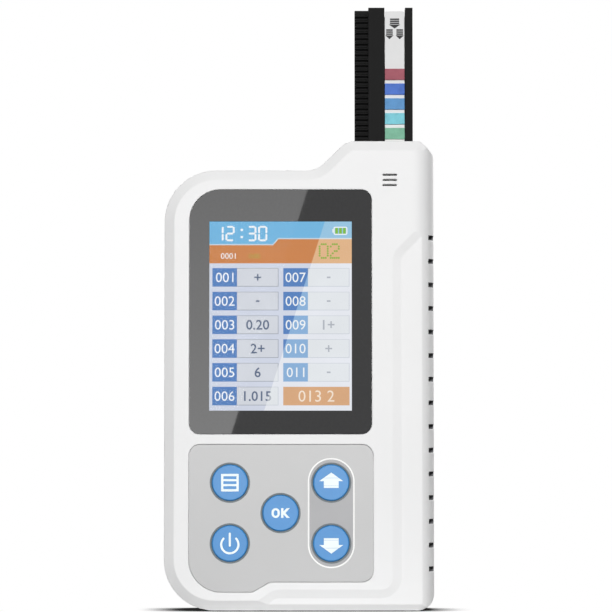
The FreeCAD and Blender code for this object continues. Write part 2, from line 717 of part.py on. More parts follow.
# ---------------------------------------------------------------- screen and keypad
def display():
    points, radii = lens_outline()
    save("display_lens", plate(points, radii, front_y, lens_back_y))
    tape = plate(points, radii, lens_back_y, lens_seat_y, tape_margin)
    save("lens_tape", tape.cut(plate(points, radii, lens_back_y - 1, lens_seat_y + 1, tape_margin + tape_w)))

    gasket = box(panel_x0, panel_x1, inner_front_y, panel_front_y, panel_z0, panel_z1)
    save("lcd_gasket", gasket.cut(window_tool(inner_front_y - 1, panel_front_y + 1)))
    save("lcd_panel", box(panel_x0, panel_x1, panel_front_y, panel_back_y, panel_z0, panel_z1))
    rim = panel_frame_wall
    frame = box(panel_x0 - rim, panel_x1 + rim, panel_front_y + gasket_t / 2, board_y,
                panel_z0 - rim, panel_z1 + rim)
    pocket = box(panel_x0, panel_x1, panel_front_y - 1, panel_back_y, panel_z0, panel_z1)
    flex_gate = box(view_x - flex_w / 2 - fit_gap, view_x + flex_w / 2 + fit_gap, panel_front_y - 1,
                    panel_back_y, panel_z0 - 2 * rim, panel_z0 + rim)
    save("lcd_frame", cut(frame, [pocket, flex_gate]))

    leave_y, enter_y = (panel_front_y + panel_back_y) / 2, board_y - connector_h * 0.6
    path = [(leave_y, panel_z0), (leave_y, panel_z0 - flex_straight),
            (enter_y, lcd_connector_z + connector_d / 2 + flex_straight),
            (enter_y, lcd_connector_z + connector_d / 2)]
    save("lcd_flex", ribbon(path, [flex_bend_r] * 2, flex_t, view_x - flex_w / 2, view_x + flex_w / 2))
    half = flex_w / 2 + 1.0
    save("lcd_connector", box(view_x - half, view_x + half, board_y - connector_h, board_y,
                              lcd_connector_z - connector_d / 2, lcd_connector_z + connector_d / 2))


def keypad():
    points, radii = pad_outline()
    overlay = plate(points, radii, pad_seat_y - pad_t, pad_seat_y)
    holes = [cylinder_y(x, z, key_r + key_ring_gap, front_y - 2, pad_seat_y + 1)
             for x, z in key_places.values()]
    save("keypad_overlay", cut(overlay, holes))
    stem_end = switch_top_y + key_stem_in
    bodies = []
    for name, (x, z) in key_places.items():
        cap = cylinder_y(x, z, key_r, key_front_y, key_flange_y)
        front_edges = [edge for edge in cap.Edges
                       if edge.BoundBox.YMax < key_front_y + 0.01 and edge.Closed]
        cap = cap.makeChamfer(key_chamfer, front_edges)
        flange = cylinder_y(x, z, key_r + key_flange_w, key_flange_y, key_back_y)
        stem = cylinder_y(x, z, key_stem_r, key_back_y, stem_end)
        save("key_" + name, fuse([cap, flange, stem]))
        half = switch_side / 2
        bore = cylinder_y(x, z, key_stem_r + switch_bore_gap, switch_top_y - 1,
                          stem_end + key_travel + switch_gap)
        bodies.append(box(x - half, x + half, switch_top_y, board_y, z - half, z + half).cut(bore))
    save("tact_switches", Part.makeCompound(bodies))


# ---------------------------------------------------------------- boards
def main_board():
    points = [(board_x0, board_z0), (board_x0, board_z1), (board_step_x, board_z1),
              (board_step_x, board_step_z), (board_x1, board_step_z), (board_x1, board_z0)]
    board = plate(points, [board_r_left_low, board_r_left_top, board_r_step, board_r_step, board_r_step,
                           board_r_right_low], board_y, board_back_y)
    tools = [cylinder_y(x, z, case_boss_r + boss_clear, board_y - 1, board_back_y + 1)
             for x, z in case_screws]
    tools += [cylinder_y(x, z, board_hole_r, board_y - 1, board_back_y + 1) for x, z in board_screws]
    save("main_board", cut(board, tools))
    for name, (x, z, width, height, thickness) in chips.items():
        save(name, box(x - width / 2, x + width / 2, board_back_y, board_back_y + thickness,
                       z - height / 2, z + height / 2))


def usb_socket():
    """Charging inlet: a thin metal shell with a tongue, open towards the left side."""
    x0 = -half_w + wall / 2
    x1 = x0 + usb_len
    y0, y1 = board_back_y, board_back_y + usb_h
    half, skin = usb_w / 2, usb_skin
    shell = box(x0, x1, y0, y1, usb_z - half, usb_z + half)
    hollow = box(x0 - 1, x1 - skin, y0 + skin, y1 - skin, usb_z - half + skin, usb_z + half - skin)
    tongue_t, tongue_half = usb_h / 4, usb_w / 3
    mid_y = (y0 + y1) / 2
    tongue = box(x0 + 4 * skin, x1, mid_y - tongue_t / 2, mid_y + tongue_t / 2,
                 usb_z - tongue_half, usb_z + tongue_half)
    save("usb_socket", shell.cut(hollow).fuse(tongue))


def sensor_unit():
    head = box(head_x0, head_x1, head_front_y, head_back_y, head_z0, head_z1)
    board = box(sensor_x0, sensor_x1, sensor_front_y, head_front_y, head_z0, head_z1)
    tools, leds, diodes = [], [], []
    for port_z in (port_z_low, port_z_high):
        tools.append(cylinder_y(channel_mid_x, port_z, port_r, head_front_y - 1, head_back_y + 1))
        diodes.append(cylinder_y(channel_mid_x, port_z, port_r - led_gap, head_front_y,
                                 head_front_y + diode_h))
        for side in (-1, 1):
            z = port_z + side * led_offset
            tools.append(cylinder_y(channel_mid_x, z, led_r + led_gap, head_front_y - 1, head_back_y + 1))
            leds.append(cylinder_y(channel_mid_x, z, led_r, head_front_y, head_front_y + led_h))
    save("optical_head", cut(head, tools))
    save("led_emitters", Part.makeCompound(leds))
    save("photodiodes", Part.makeCompound(diodes))
    holes = [cylinder_y(x, z, board_hole_r, sensor_front_y - 1, head_front_y + 1) for x, z in sensor_screws]
    save("sensor_board", cut(board, holes))

    low_top = board_step_z - ribbon_edge
    high_foot = head_z0 + ribbon_edge
    half = ribbon_w / 2 + ribbon_margin
    x = channel_mid_x
    save("ribbon_connectors", Part.makeCompound([
        box(x - half, x + half, board_y - connector_h, board_y, low_top - connector_d, low_top),
        box(x - half, x + half, sensor_front_y - connector_h, sensor_front_y,
            high_foot, high_foot + connector_d)]))
    low_y, high_y = board_y - connector_h / 2, sensor_front_y - connector_h / 2
    path = [(low_y, low_top), (low_y, low_top + ribbon_straight),
            (high_y, high_foot - ribbon_straight), (high_y, high_foot)]
    save("sensor_ribbon", ribbon(path, [flex_bend_r] * 2, flex_t, x - ribbon_w / 2, x + ribbon_w / 2))


# ---------------------------------------------------------------- tray, strip and drive
def rack_teeth():
    """Comb of straight-sided teeth that faces the front."""
    slope = math.tan(math.radians(pressure_deg))
    half_pitch_line = rack_pitch / 4 - tooth_backlash / 2
    root_y, tip_y = rack_pitch_y + dedendum, rack_pitch_y - addendum
    half_root, half_tip = half_pitch_line + dedendum * slope, half_pitch_line - addendum * slope
    first = math.ceil((tray_foot_z - pinion_z) / rack_pitch + 0.5)
    last = math.floor((rack_top_z - pinion_z) / rack_pitch - 0.5)
    back_y = root_y + rack_web
    points = [(back_y, pinion_z + (first - 0.5) * rack_pitch)]
    for k in range(first, last + 1):
        z = pinion_z + (k + 0.5) * rack_pitch
        if z + half_root > rack_top_z:
            break
        points += [(root_y, z - half_root), (tip_y, z - half_tip),
                   (tip_y, z + half_tip), (root_y, z + half_root)]
    points.append((back_y, points[-1][1]))
    corners = [V(tray_x0, y, z) for y, z in points]
    return Part.Face(Part.makePolygon(corners + corners[:1])).extrude(V(rack_w, 0, 0))


def strip_tray():
    body = box(tray_x0, tray_x1, tray_front_y, tray_back_y, tray_foot_z, tray_top_z)
    rack_x1 = tray_x0 + rack_w
    tile_z0, tile_z1 = tile_z - tile_h / 2, tile_z + tile_h / 2
    tools = [
        box(tray_x0 - 1, rack_x1, tray_front_y - 1, rack_pitch_y + dedendum, tray_foot_z - 1, tray_top_z + 1),
        box(tray_x0 - 1, rack_x1, tray_front_y - 1, tray_back_y + 1, rack_top_z, tray_top_z + 1),
        box(channel_x0, channel_x1, tray_front_y - 1, channel_floor_y, channel_low_z, tray_top_z + 1),
        box(channel_x0, channel_x1, tray_front_y - 1, channel_floor_y, tile_z0, tile_z1),
        box(channel_x0, channel_x1, tray_front_y - 1, tray_back_y + 1,
            strip_top_z - channel_notch, tray_top_z + 1),
    ]
    save("strip_tray", cut(body, tools).fuse(rack_teeth()))
    save("white_tile", box(channel_x0, channel_x1, channel_floor_y - tile_t, channel_floor_y,
                           tile_z0, tile_z1))


def test_strip():
    half = strip_w / 2
    back_y = channel_floor_y - strip_seat_gap
    face_y = back_y - strip_t
    save("test_strip", box(channel_mid_x - half, channel_mid_x + half, face_y, back_y,
                           strip_foot_z, strip_top_z))
    for i in range(pad_count):
        top = strip_top_z - handle_len - i * pad_pitch
        save(f"reagent_pad_{i + 1:02d}", box(channel_mid_x - half, channel_mid_x + half,
                                             face_y - pad_thick, face_y, top - pad_len, top))


def involute_gear():
    """Spur gear about the X axis with a tooth pointing at the rack."""
    base_r = pitch_r * math.cos(math.radians(pressure_deg))
    root_r, tip_r = pitch_r - dedendum, pitch_r + addendum
    half_tooth = (rack_pitch / 4 - tooth_backlash / 2) / pitch_r
    pressure = math.radians(pressure_deg)
    involute_at_pitch = math.tan(pressure) - pressure
    flank_steps = 6

    def flank_angle(r):
        """Half of the tooth's angle at radius r."""
        if r <= base_r:
            return half_tooth + involute_at_pitch
        angle = math.acos(base_r / r)
        return half_tooth + involute_at_pitch - (math.tan(angle) - angle)

    start_r = max(base_r, root_r)
    radii = [start_r + (tip_r - start_r) * i / flank_steps for i in range(flank_steps + 1)]
    points = []
    for tooth in range(pinion_teeth):
        middle = 2 * math.pi * tooth / pinion_teeth
        rising = [(root_r, middle - flank_angle(root_r))] + [(r, middle - flank_angle(r)) for r in radii]
        falling = [(r, middle + flank_angle(r)) for r in reversed(radii)]
        falling.append((root_r, middle + flank_angle(root_r)))
        points += rising + falling
    corners = [V(pinion_x0, pinion_y + r * math.cos(a), pinion_z + r * math.sin(a)) for r, a in points]
    return Part.Face(Part.makePolygon(corners + corners[:1])).extrude(V(pinion_w, 0, 0))


def drive():
    hub_bore = cylinder_x(pinion_y, pinion_z, shaft_r, pinion_x0 - 1, pinion_x0 + pinion_w + 1)
    save("drive_pinion", involute_gear().cut(hub_bore))
    shaft_x0 = gearbox_x1 - shaft_in
    save("output_shaft", cylinder_x(pinion_y, pinion_z, shaft_r, shaft_x0, gearbox_x1 + shaft_len))
    half = gearbox_side / 2
    gearbox = box(gearbox_x0, gearbox_x1, pinion_y - half, pinion_y + half, pinion_z - half, pinion_z + half)
    bore = cylinder_x(pinion_y, pinion_z, shaft_r + shaft_gap, shaft_x0 - shaft_gap, gearbox_x1 + 1)
    save("gearbox", gearbox.cut(bore))
    can = cylinder_x(pinion_y, pinion_z, motor_r, motor_x0, gearbox_x0)
    end_boss = cylinder_x(pinion_y, pinion_z, motor_r / 3, motor_x0 - motor_boss, motor_x0)
    save("drive_motor", can.fuse(end_boss))


def tray_guide():
    """Back plate with side rails behind the tray, and the snap cradle for the motor beside it."""
    x0, x1 = guide_x0, guide_x1
    side_y = tray_front_y - guide_side_rise
    shapes = [
        box(x0, x1, guide_front_y, guide_back_y, guide_low_z, guide_top_z),
        box(x0, x0 + guide_side_t, side_y, guide_back_y, guide_low_z, guide_top_z),
        box(x1 - guide_side_t, x1, side_y, guide_back_y, guide_low_z, guide_top_z),
        box(x1 - guide_side_t - guide_lip_w, x1, side_y, side_y + guide_lip_t, guide_low_z, guide_top_z),
        box(x0, x0 + guide_side_t + guide_lip_w, side_y, side_y + guide_lip_t, guide_low_z, guide_lip_top_z),
        box(cradle_x0, x0 + guide_side_t, guide_front_y, guide_back_y, cradle_z0, cradle_z1),
    ]
    for x, z in guide_screws[:2]:
        shapes.append(cylinder_y(x, z, tab_r, guide_front_y, guide_back_y))
        shapes.append(box(x, x0 + guide_side_t, guide_front_y, guide_back_y, z - tab_r, z + tab_r))
    rib_y = pinion_y - cradle_wrap
    for x in (motor_x0 + rib_in, gearbox_x0 - rib_in - rib_t):
        shapes.append(box(x, x + rib_t, rib_y, guide_front_y + guide_t / 2,
                          pinion_z - rib_z, pinion_z + rib_z))
    shapes.append(box(gearbox_x1 - rib_in - rib_t, gearbox_x1 - rib_in, pinion_y + gearbox_side / 2,
                      guide_front_y + guide_t / 2, pinion_z - gearbox_side / 2, pinion_z + gearbox_side / 2))
    tools = [cylinder_x(pinion_y, pinion_z, motor_r + shaft_gap, motor_x0, gearbox_x0)]
    tools += [cylinder_y(x, z, small_screw_r + shank_clear, guide_front_y - 1, guide_back_y + 1)
              for x, z in guide_screws]
    save("tray_guide", cut(fuse(shapes), tools))
    save("home_switch", box(tray_x0 + 2, tray_x0 + 2 + switch_side, guide_front_y - home_t, guide_front_y,
                            guide_low_z + home_lift, tray_foot_z - tray_travel - home_gap))


# ---------------------------------------------------------------- battery and leads
def battery():
    x0, x1 = cell_x - cell_w / 2, cell_x + cell_w / 2
    save("battery_pack", rounded_box(x0, x1, cell_front_y, cell_back_y, cell_z0, cell_z0 + cell_h, cell_r))
    save("battery_connector", box(plug_x - plug_w / 2, plug_x + plug_w / 2,
                                  board_back_y, board_back_y + plug_t, plug_z, plug_z + plug_h))


def leads():
    top_z = cell_z0 + cell_h
    cell_mid_y = (cell_front_y + cell_back_y) / 2
    plug_mid_y = board_back_y + plug_t / 2
    routes = []
    for side in (-1, 1):
        x = plug_x + side * lead_apart / 2
        routes.append([(x, cell_mid_y, top_z), (x, cell_mid_y, top_z + lead_straight),
                       (x, plug_mid_y, plug_z - lead_straight), (x, plug_mid_y, plug_z)])
    save_leads("battery_leads", routes, lead_r)
    routes = []
    for side in (-1, 1):
        z = pinion_z + side * motor_lead_apart / 2
        bend_x = motor_x0 - motor_lead_out - side * lead_r * 2
        end_x, end_z = bend_x - motor_lead_side, z - motor_lead_drop
        routes.append([(motor_x0, pinion_y, z), (bend_x, pinion_y, z), (end_x, pinion_y, end_z),
                       (end_x, board_back_y, end_z)])
    save_leads("motor_leads", routes, motor_lead_r)


def save_leads(name, routes, r):
    tubes = []
    for route in routes:
        tube, bends, length = wire_lead(route, r)
        tubes.append(tube)
        print(name, "length", round(length, 2), "bends", [round(bend, 2) for bend in bends],
              "volume over section times length", round(tube.Volume / (math.pi * r * r * length), 4))
    save(name, Part.makeCompound(tubes))


def buzzer():
    save("buzzer", cylinder_y(buzzer_x, buzzer_z, buzzer_r, inner_front_y, inner_front_y + buzzer_h))


def main():
    os.makedirs("parts", exist_ok=True)
    front_shell()
    rear_shell()
    battery_door()
    rubber_feet()
    display()
    keypad()
    main_board()
    usb_socket()
    sensor_unit()
    strip_tray()
    test_strip()
    drive()
    tray_guide()
    battery()
    leads()
    buzzer()
    screws("case_screws", case_screws, screw_seat_y, screw_bite, screw_r, screw_head_r, screw_head_h)
    screws("board_screws", board_screws, board_back_y, board_t + small_bite, small_screw_r, small_head_r,
           small_head_h)
    screws("sensor_screws", sensor_screws, head_front_y, sensor_board_t + small_bite, small_screw_r,
           small_head_r, small_head_h)
    screws("guide_screws", guide_screws, guide_front_y, guide_t + small_bite, small_screw_r,
           small_head_r, small_head_h, facing=-1)


main()
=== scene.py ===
"""Dresses the hand-held strip reader: its finishes, the signs on its keys, the page on its screen and the stage."""

import math
import types

import bmesh
import bpy
from mathutils import Matrix, Vector


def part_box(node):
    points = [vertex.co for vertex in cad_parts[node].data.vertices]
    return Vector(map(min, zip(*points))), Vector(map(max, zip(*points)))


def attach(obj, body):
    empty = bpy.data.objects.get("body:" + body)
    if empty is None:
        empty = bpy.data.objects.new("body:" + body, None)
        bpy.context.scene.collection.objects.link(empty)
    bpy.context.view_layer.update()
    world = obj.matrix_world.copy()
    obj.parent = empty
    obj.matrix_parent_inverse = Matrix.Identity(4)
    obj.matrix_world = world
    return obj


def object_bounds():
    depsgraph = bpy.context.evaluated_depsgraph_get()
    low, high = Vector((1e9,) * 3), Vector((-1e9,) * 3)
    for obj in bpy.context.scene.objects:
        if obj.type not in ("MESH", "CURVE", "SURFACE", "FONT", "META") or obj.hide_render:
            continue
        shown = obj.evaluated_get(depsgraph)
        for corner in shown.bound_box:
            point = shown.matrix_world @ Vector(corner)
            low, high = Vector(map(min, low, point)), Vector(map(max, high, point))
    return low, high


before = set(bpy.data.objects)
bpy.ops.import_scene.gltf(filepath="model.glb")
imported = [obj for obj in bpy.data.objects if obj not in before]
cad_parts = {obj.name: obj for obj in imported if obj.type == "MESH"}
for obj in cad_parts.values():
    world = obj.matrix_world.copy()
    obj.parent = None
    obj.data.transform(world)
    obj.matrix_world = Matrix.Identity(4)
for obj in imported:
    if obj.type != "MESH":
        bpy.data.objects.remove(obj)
cad_low, cad_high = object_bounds()

bl_info = {
    "name": "Strip Reader Finishes",
    "version": (1, 0, 0),
    "blender": (4, 5, 0),
    "location": "View3D > Sidebar > Strip Reader",
    "description": "Adds the finishes, key signs, screen page and stage of a hand-held strip reader",
    "category": "Object",
}

MM = 0.001
PRINT = 0.02  # thickness of one printed or lit layer, in millimetres
GROOVES, GROOVE_LOW, GROOVE_PITCH = 15, 11.16, 6.4  # grip grooves: how many, middle of the lowest, spacing
GLARE = (-9.55, 53.78), (6.8, 104.86)  # two (x, z) points of the slanting line across the lit page; right of it the page is painted paler as glare
CAPITAL = 0.729  # height of a figure in the built-in font, for a size of 1
EYE = Vector((0.0018, -0.915, 0.027))  # where the camera stands
SIGHT = Vector((0.0018, -0.015, 0.08204))  # the point that it looks at


# ------------------------------ colours and nodes
def linear(hex_colour):
    """sRGB hex, such as efefef, as the linear colour that a shader takes. A linear colour stays as it is."""
    if not isinstance(hex_colour, str):
        return tuple(hex_colour)
    parts = [int(hex_colour[i : i + 2], 16) / 255 for i in (0, 2, 4)]
    return (*[p / 12.92 if p <= 0.04045 else ((p + 0.055) / 1.055) ** 2.4 for p in parts], 1.0)


def shade(colour, factor):
    """The same linear colour, lighter or darker."""
    return (*[min(1.0, c * factor) for c in colour[:3]], 1.0)


def add(tree, kind, inputs=None, **settings):
    """Adds one shader node. inputs maps a socket to a value, or to the socket or the node that feeds it.

    A node feeds through the first of its outputs that is in use."""
    made = tree.nodes.new("ShaderNode" + kind)
    for name, value in settings.items():
        setattr(made, name, value)
    for socket, value in (inputs or {}).items():
        if isinstance(value, bpy.types.Node):
            value = next(output for output in value.outputs if output.enabled)
        if isinstance(value, bpy.types.NodeSocket):
            tree.links.new(value, made.inputs[socket])
        else:
            made.inputs[socket].default_value = value
    return made


def new_material(name):
    """An empty node material, its tree and the Object coordinates that it reads."""
    material = bpy.data.materials.new(name)
    material.use_nodes = True
    tree = material.node_tree
    tree.nodes.clear()
    return material, tree, add(tree, "TexCoord").outputs["Object"]


def per_mm(size):
    """Texture scale that repeats once in size millimetres on Object coordinates."""
    return 1.0 / (size * MM)


def finish(name, colour, roughness, metallic=0.0, mottle=0.03, mottle_mm=9.0, grain_mm=0.35,
           grain_depth=0.004, edge_mm=0.0, spread=0.06, stretch=(1, 1, 1), clear_coat=0.0, specular=0.5, groove_shade=None):
    """A material with a fine surface grain, faint uneven colour and gloss, and softened edges.

    mottle is how far the colour strays, grain_mm and grain_depth the size of the surface grain in
    millimetres, edge_mm the radius that edges look rounded by, and stretch draws the grain out
    along one axis, as brushing does. groove_shade makes the mask of the painted shade in the grip grooves."""
    material, tree, place = new_material(name)
    base = linear(colour)
    drawn = add(tree, "Mapping", {"Vector": place, "Scale": stretch})
    cloud = add(tree, "TexNoise", {"Vector": place, "Scale": per_mm(mottle_mm), "Detail": 3.0})
    grain = add(tree, "TexNoise", {"Vector": drawn, "Scale": per_mm(grain_mm), "Detail": 2.0})
    share = add(tree, "MapRange", {0: cloud, 1: 0.35, 2: 0.65})
    skin = add(tree, "Mix", {0: share, 6: shade(base, 1 - 2 * mottle), 7: shade(base, 1 + mottle)}, data_type="RGBA")
    if groove_shade:
        # Painted shade: the walls of the grip grooves are coloured dark grey, as if in shadow.
        skin = add(tree, "Mix", {0: groove_shade(tree, place), 6: skin, 7: linear("3c3c3e")}, data_type="RGBA")
    gloss = add(tree, "MapRange", {0: grain, 1: 0.3, 2: 0.7, 3: roughness - spread, 4: roughness + spread})
    normal = {"Normal": add(tree, "Bevel", {"Radius": edge_mm * MM}, samples=4)} if edge_mm else {}
    bump = add(tree, "Bump", {"Height": grain, "Strength": 0.6, "Distance": grain_depth * MM, **normal})
    shader = add(tree, "BsdfPrincipled", {
        "Base Color": skin, "Roughness": gloss, "Normal": bump, "Metallic": metallic,
        "Specular IOR Level": specular, "Coat Weight": clear_coat, "Coat Roughness": 0.08})
    add(tree, "OutputMaterial", {"Surface": shader})
    return material


def inside(tree, place, low_x, high_x, low_z, high_z, soft=0.03):
    """1 inside a rectangle on the front, 0 outside it, in millimetres, with edges soft wide."""
    axes = add(tree, "SeparateXYZ", {"Vector": place})
    result = None
    for axis, low, high in (("X", low_x, high_x), ("Z", low_z, high_z)):
        for edge, start in ((low, 0), (high, 1)):
            side = add(tree, "MapRange", {0: axes.outputs[axis], 1: (edge - soft) * MM, 2: (edge + soft) * MM,
                                          3: start, 4: 1 - start})
            result = add(tree, "Math", {0: result, 1: side}, operation="MULTIPLY") if result else side
    return result


def beside(tree, place, foot, head, soft=0.06):
    """1 to the right of the line through two (x, z) points on the front, 0 to its left."""
    axes = add(tree, "SeparateXYZ", {"Vector": place})
    slope = (head[0] - foot[0]) / (head[1] - foot[1])
    lean = add(tree, "Math", {0: axes.outputs["Z"], 1: -slope, 2: axes.outputs["X"]}, operation="MULTIPLY_ADD")
    at = (foot[0] - slope * foot[1]) * MM
    return add(tree, "MapRange", {0: lean, 1: at - soft * MM, 2: at + soft * MM})


# ------------------------------ shapes
UPRIGHT = Matrix.Rotation(math.radians(90), 4, "X")  # a flat drawing (x, z) stood up to face the front


def round_off(bm, corners, reach, steps):
    """Rounds flat corners, and returns the vertices made."""
    return bmesh.ops.bevel(bm, geom=corners, offset=reach, offset_type="OFFSET", affect="VERTICES",
                           segments=steps, profile=0.5, material=-1)["verts"]


def plate(bm, low_x, high_x, low_z, high_z, corner=0.0, steps=6):
    """Adds a flat rectangle, with round corners where corner is given, and returns its face."""
    middle = Matrix.Translation(((low_x + high_x) / 2, (low_z + high_z) / 2, 0))
    size = Matrix.Diagonal((high_x - low_x, high_z - low_z, 1, 1))
    corners = bmesh.ops.create_grid(bm, x_segments=1, y_segments=1, size=0.5, matrix=middle @ size)["verts"]
    face = corners[0].link_faces[0]
    if corner:
        face = round_off(bm, corners, corner, steps)[0].link_faces[0]
    return face


def disc(bm, x, z, radius, steps=48):
    """Adds a flat disc and returns its face."""
    at = Matrix.Translation((x, z, 0))
    rim = bmesh.ops.create_circle(bm, cap_ends=True, segments=steps, radius=radius, matrix=at)["verts"]
    return rim[0].link_faces[0]


def polygon(bm, points):
    """Adds a flat shape from its few corners and returns its face."""
    return bm.faces.new([bm.verts.new((x, z, 0)) for x, z in points])


def pierce(bm, outer, *holes):
    """Cuts the hole faces out of the outer face, all in one plane."""
    edges = {e for face in (outer, *holes) for e in face.edges}
    bmesh.ops.delete(bm, geom=[outer, *holes], context="FACES_ONLY")
    bmesh.ops.triangle_fill(bm, edges=list(edges), use_beauty=True)


def stroke(bm, x, z, start, sweep, radius, width, steps=40, tip=0.0):
    """Adds a flat arc of a line, from start degrees over sweep degrees, with round tips."""
    first = [bm.verts.new((x + r * math.cos(math.radians(start)), z + r * math.sin(math.radians(start)), 0))
             for r in (radius - width / 2, radius + width / 2)]
    edge = bm.edges.new(first)
    last = bmesh.ops.spin(bm, geom=[*first, edge], cent=(x, z, 0), axis=(0, 0, 1),
                          angle=math.radians(sweep), steps=steps)["geom_last"]
    if tip:
        round_off(bm, first + [v for v in last if isinstance(v, bmesh.types.BMVert)], tip, 4)


def figures(bm, text, x, z, height, weight=0.0, middle=True):
    """Adds flat figures of a given height, centred on x and z or starting at x."""
    curve = bpy.data.curves.new("figures", "FONT")
    curve.body, curve.offset, curve.resolution_u = text, weight, 3
    holder = bpy.data.objects.new("figures", curve)
    bpy.context.scene.collection.objects.link(holder)
    bpy.context.view_layer.update()
    mesh = bpy.data.meshes.new_from_object(holder.evaluated_get(bpy.context.evaluated_depsgraph_get()))
    low = [min(v.co[i] for v in mesh.vertices) for i in (0, 1)]
    high = [max(v.co[i] for v in mesh.vertices) for i in (0, 1)]
    size = height / (CAPITAL + 2 * weight)
    centre = (low[0] + high[0]) / 2 if middle else low[0]
    level = (low[1] + high[1]) / 2
    mesh.transform(Matrix.Translation((x, z, 0)) @ Matrix.Scale(size, 4) @ Matrix.Translation((-centre, -level, 0)))
    bm.from_mesh(mesh)
    bpy.data.objects.remove(holder)
    bpy.data.curves.remove(curve)
    bpy.data.meshes.remove(mesh)


def place_mesh(name, bm, material):
    """Puts the finished mesh into the scene with one material."""
    mesh = bpy.data.meshes.new(name)
    bm.to_mesh(mesh)
    bm.free()
    mesh.materials.append(material)
    made = bpy.data.objects.new(name, mesh)
    bpy.context.scene.collection.objects.link(made)
    return made


def piece(name, bm, material, body):
    """Makes the finished mesh a piece of the object that moves with a body."""
    bmesh.ops.recalc_face_normals(bm, faces=bm.faces)
    made = place_mesh(name, bm, material)
    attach(made, body)
    return made


def printed(name, bm, rear_y, material, body, depth=PRINT):
    """Stands a flat drawing up on the plane rear_y, depth thick, and makes it a piece."""
    bmesh.ops.remove_doubles(bm, verts=bm.verts, dist=0.0005)
    bmesh.ops.dissolve_degenerate(bm, dist=0.0004, edges=bm.edges)
    bmesh.ops.solidify(bm, geom=bm.faces[:], thickness=depth)
    low = min(v.co.z for v in bm.verts)
    bmesh.ops.translate(bm, verts=bm.verts, vec=(0, 0, -low))
    bmesh.ops.transform(bm, matrix=Matrix.Translation((0, rear_y * MM, 0)) @ Matrix.Scale(MM, 4) @ UPRIGHT,
                        verts=bm.verts)
    return piece(name, bm, material, body)


def cover(material, *nodes):
    """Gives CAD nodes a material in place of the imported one."""
    for name in nodes:
        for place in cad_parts[name].material_slots:
            place.material = material


def millimetres(node):
    """Lowest and highest corner of a CAD node at rest, in millimetres."""
    low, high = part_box(node)
    return low / MM, high / MM


# ------------------------------ finishes with a mask of their own
def painted_groove_shade(tree, place):
    """Mask of the painted shade in the grip grooves of the right side: 1 inside the grooves, 0 elsewhere."""
    axes = add(tree, "SeparateXYZ", {"Vector": place})
    low, high = millimetres("front_shell")[0], millimetres("rear_shell")[1]
    tall, deep, end = 1.2, 1.5, 1.9
    turn = add(tree, "Math", {0: axes.outputs["Z"], 1: per_mm(GROOVE_PITCH), 2: 0.5 - GROOVE_LOW / GROOVE_PITCH},
               operation="MULTIPLY_ADD")
    part = add(tree, "Math", {0: turn}, operation="FRACT")
    off = add(tree, "Math", {0: part, 1: 0.5}, operation="SUBTRACT")
    away = add(tree, "Math", {0: off}, operation="ABSOLUTE")
    half = tall / 2 / GROOVE_PITCH
    result = add(tree, "MapRange", {0: away, 1: half + 0.004, 2: half + 0.012, 3: 1, 4: 0})
    for axis, start, stop in (("X", high.x - deep - 0.05, high.x + 1), ("Y", low.y + end - 0.05, high.y - end + 0.05),
                              ("Z", GROOVE_LOW - GROOVE_PITCH / 2, GROOVE_LOW + (GROOVES - 0.5) * GROOVE_PITCH)):
        for test, limit in (("GREATER_THAN", start), ("LESS_THAN", stop)):
            side = add(tree, "Math", {0: axes.outputs[axis], 1: limit * MM}, operation=test)
            result = add(tree, "Math", {0: result, 1: side}, operation="MULTIPLY")
    return result


def moulded_abs(colours):
    """Matt white ABS from a spark-eroded mould: a fine even grain, soft edges, and painted shade in the grip grooves,
    coloured dark grey.
    """
    return finish("moulded white ABS", colours.case, 0.6, mottle=0.006, mottle_mm=26.0, grain_mm=0.32,
                  grain_depth=0.006, edge_mm=0.4, specular=0.35, groove_shade=painted_groove_shade)


def printed_lens(colours):
    """Clear acrylic window inside a border printed dark from behind: a deep gloss that mirrors the lamps."""
    material, tree, place = new_material("acrylic lens with printed border")
    left, right, bottom, top = screen_box()
    window = inside(tree, place, left - 0.08, right + 0.01, bottom - 0.01, top + 0.15)
    orange_peel = add(tree, "TexNoise", {"Vector": place, "Scale": per_mm(6.0), "Detail": 1.0})
    dust = add(tree, "TexNoise", {"Vector": place, "Scale": per_mm(0.6), "Detail": 3.0})
    share = add(tree, "MapRange", {0: dust, 1: 0.4, 2: 0.6})
    border = linear(colours.border)
    ink = add(tree, "Mix", {0: share, 6: border, 7: shade(border, 1.12)}, data_type="RGBA")
    bump = add(tree, "Bump", {"Height": orange_peel, "Strength": 0.1, "Distance": 0.002 * MM})
    shader = add(tree, "BsdfPrincipled", {
        "Base Color": ink, "Normal": bump, "IOR": 1.49,
        "Roughness": add(tree, "MapRange", {0: dust, 1: 0.35, 2: 0.65, 3: 0.008, 4: 0.016}),
        "Alpha": add(tree, "MapRange", {0: window, 3: 1.0, 4: 0.05})})
    add(tree, "OutputMaterial", {"Surface": shader})
    return material


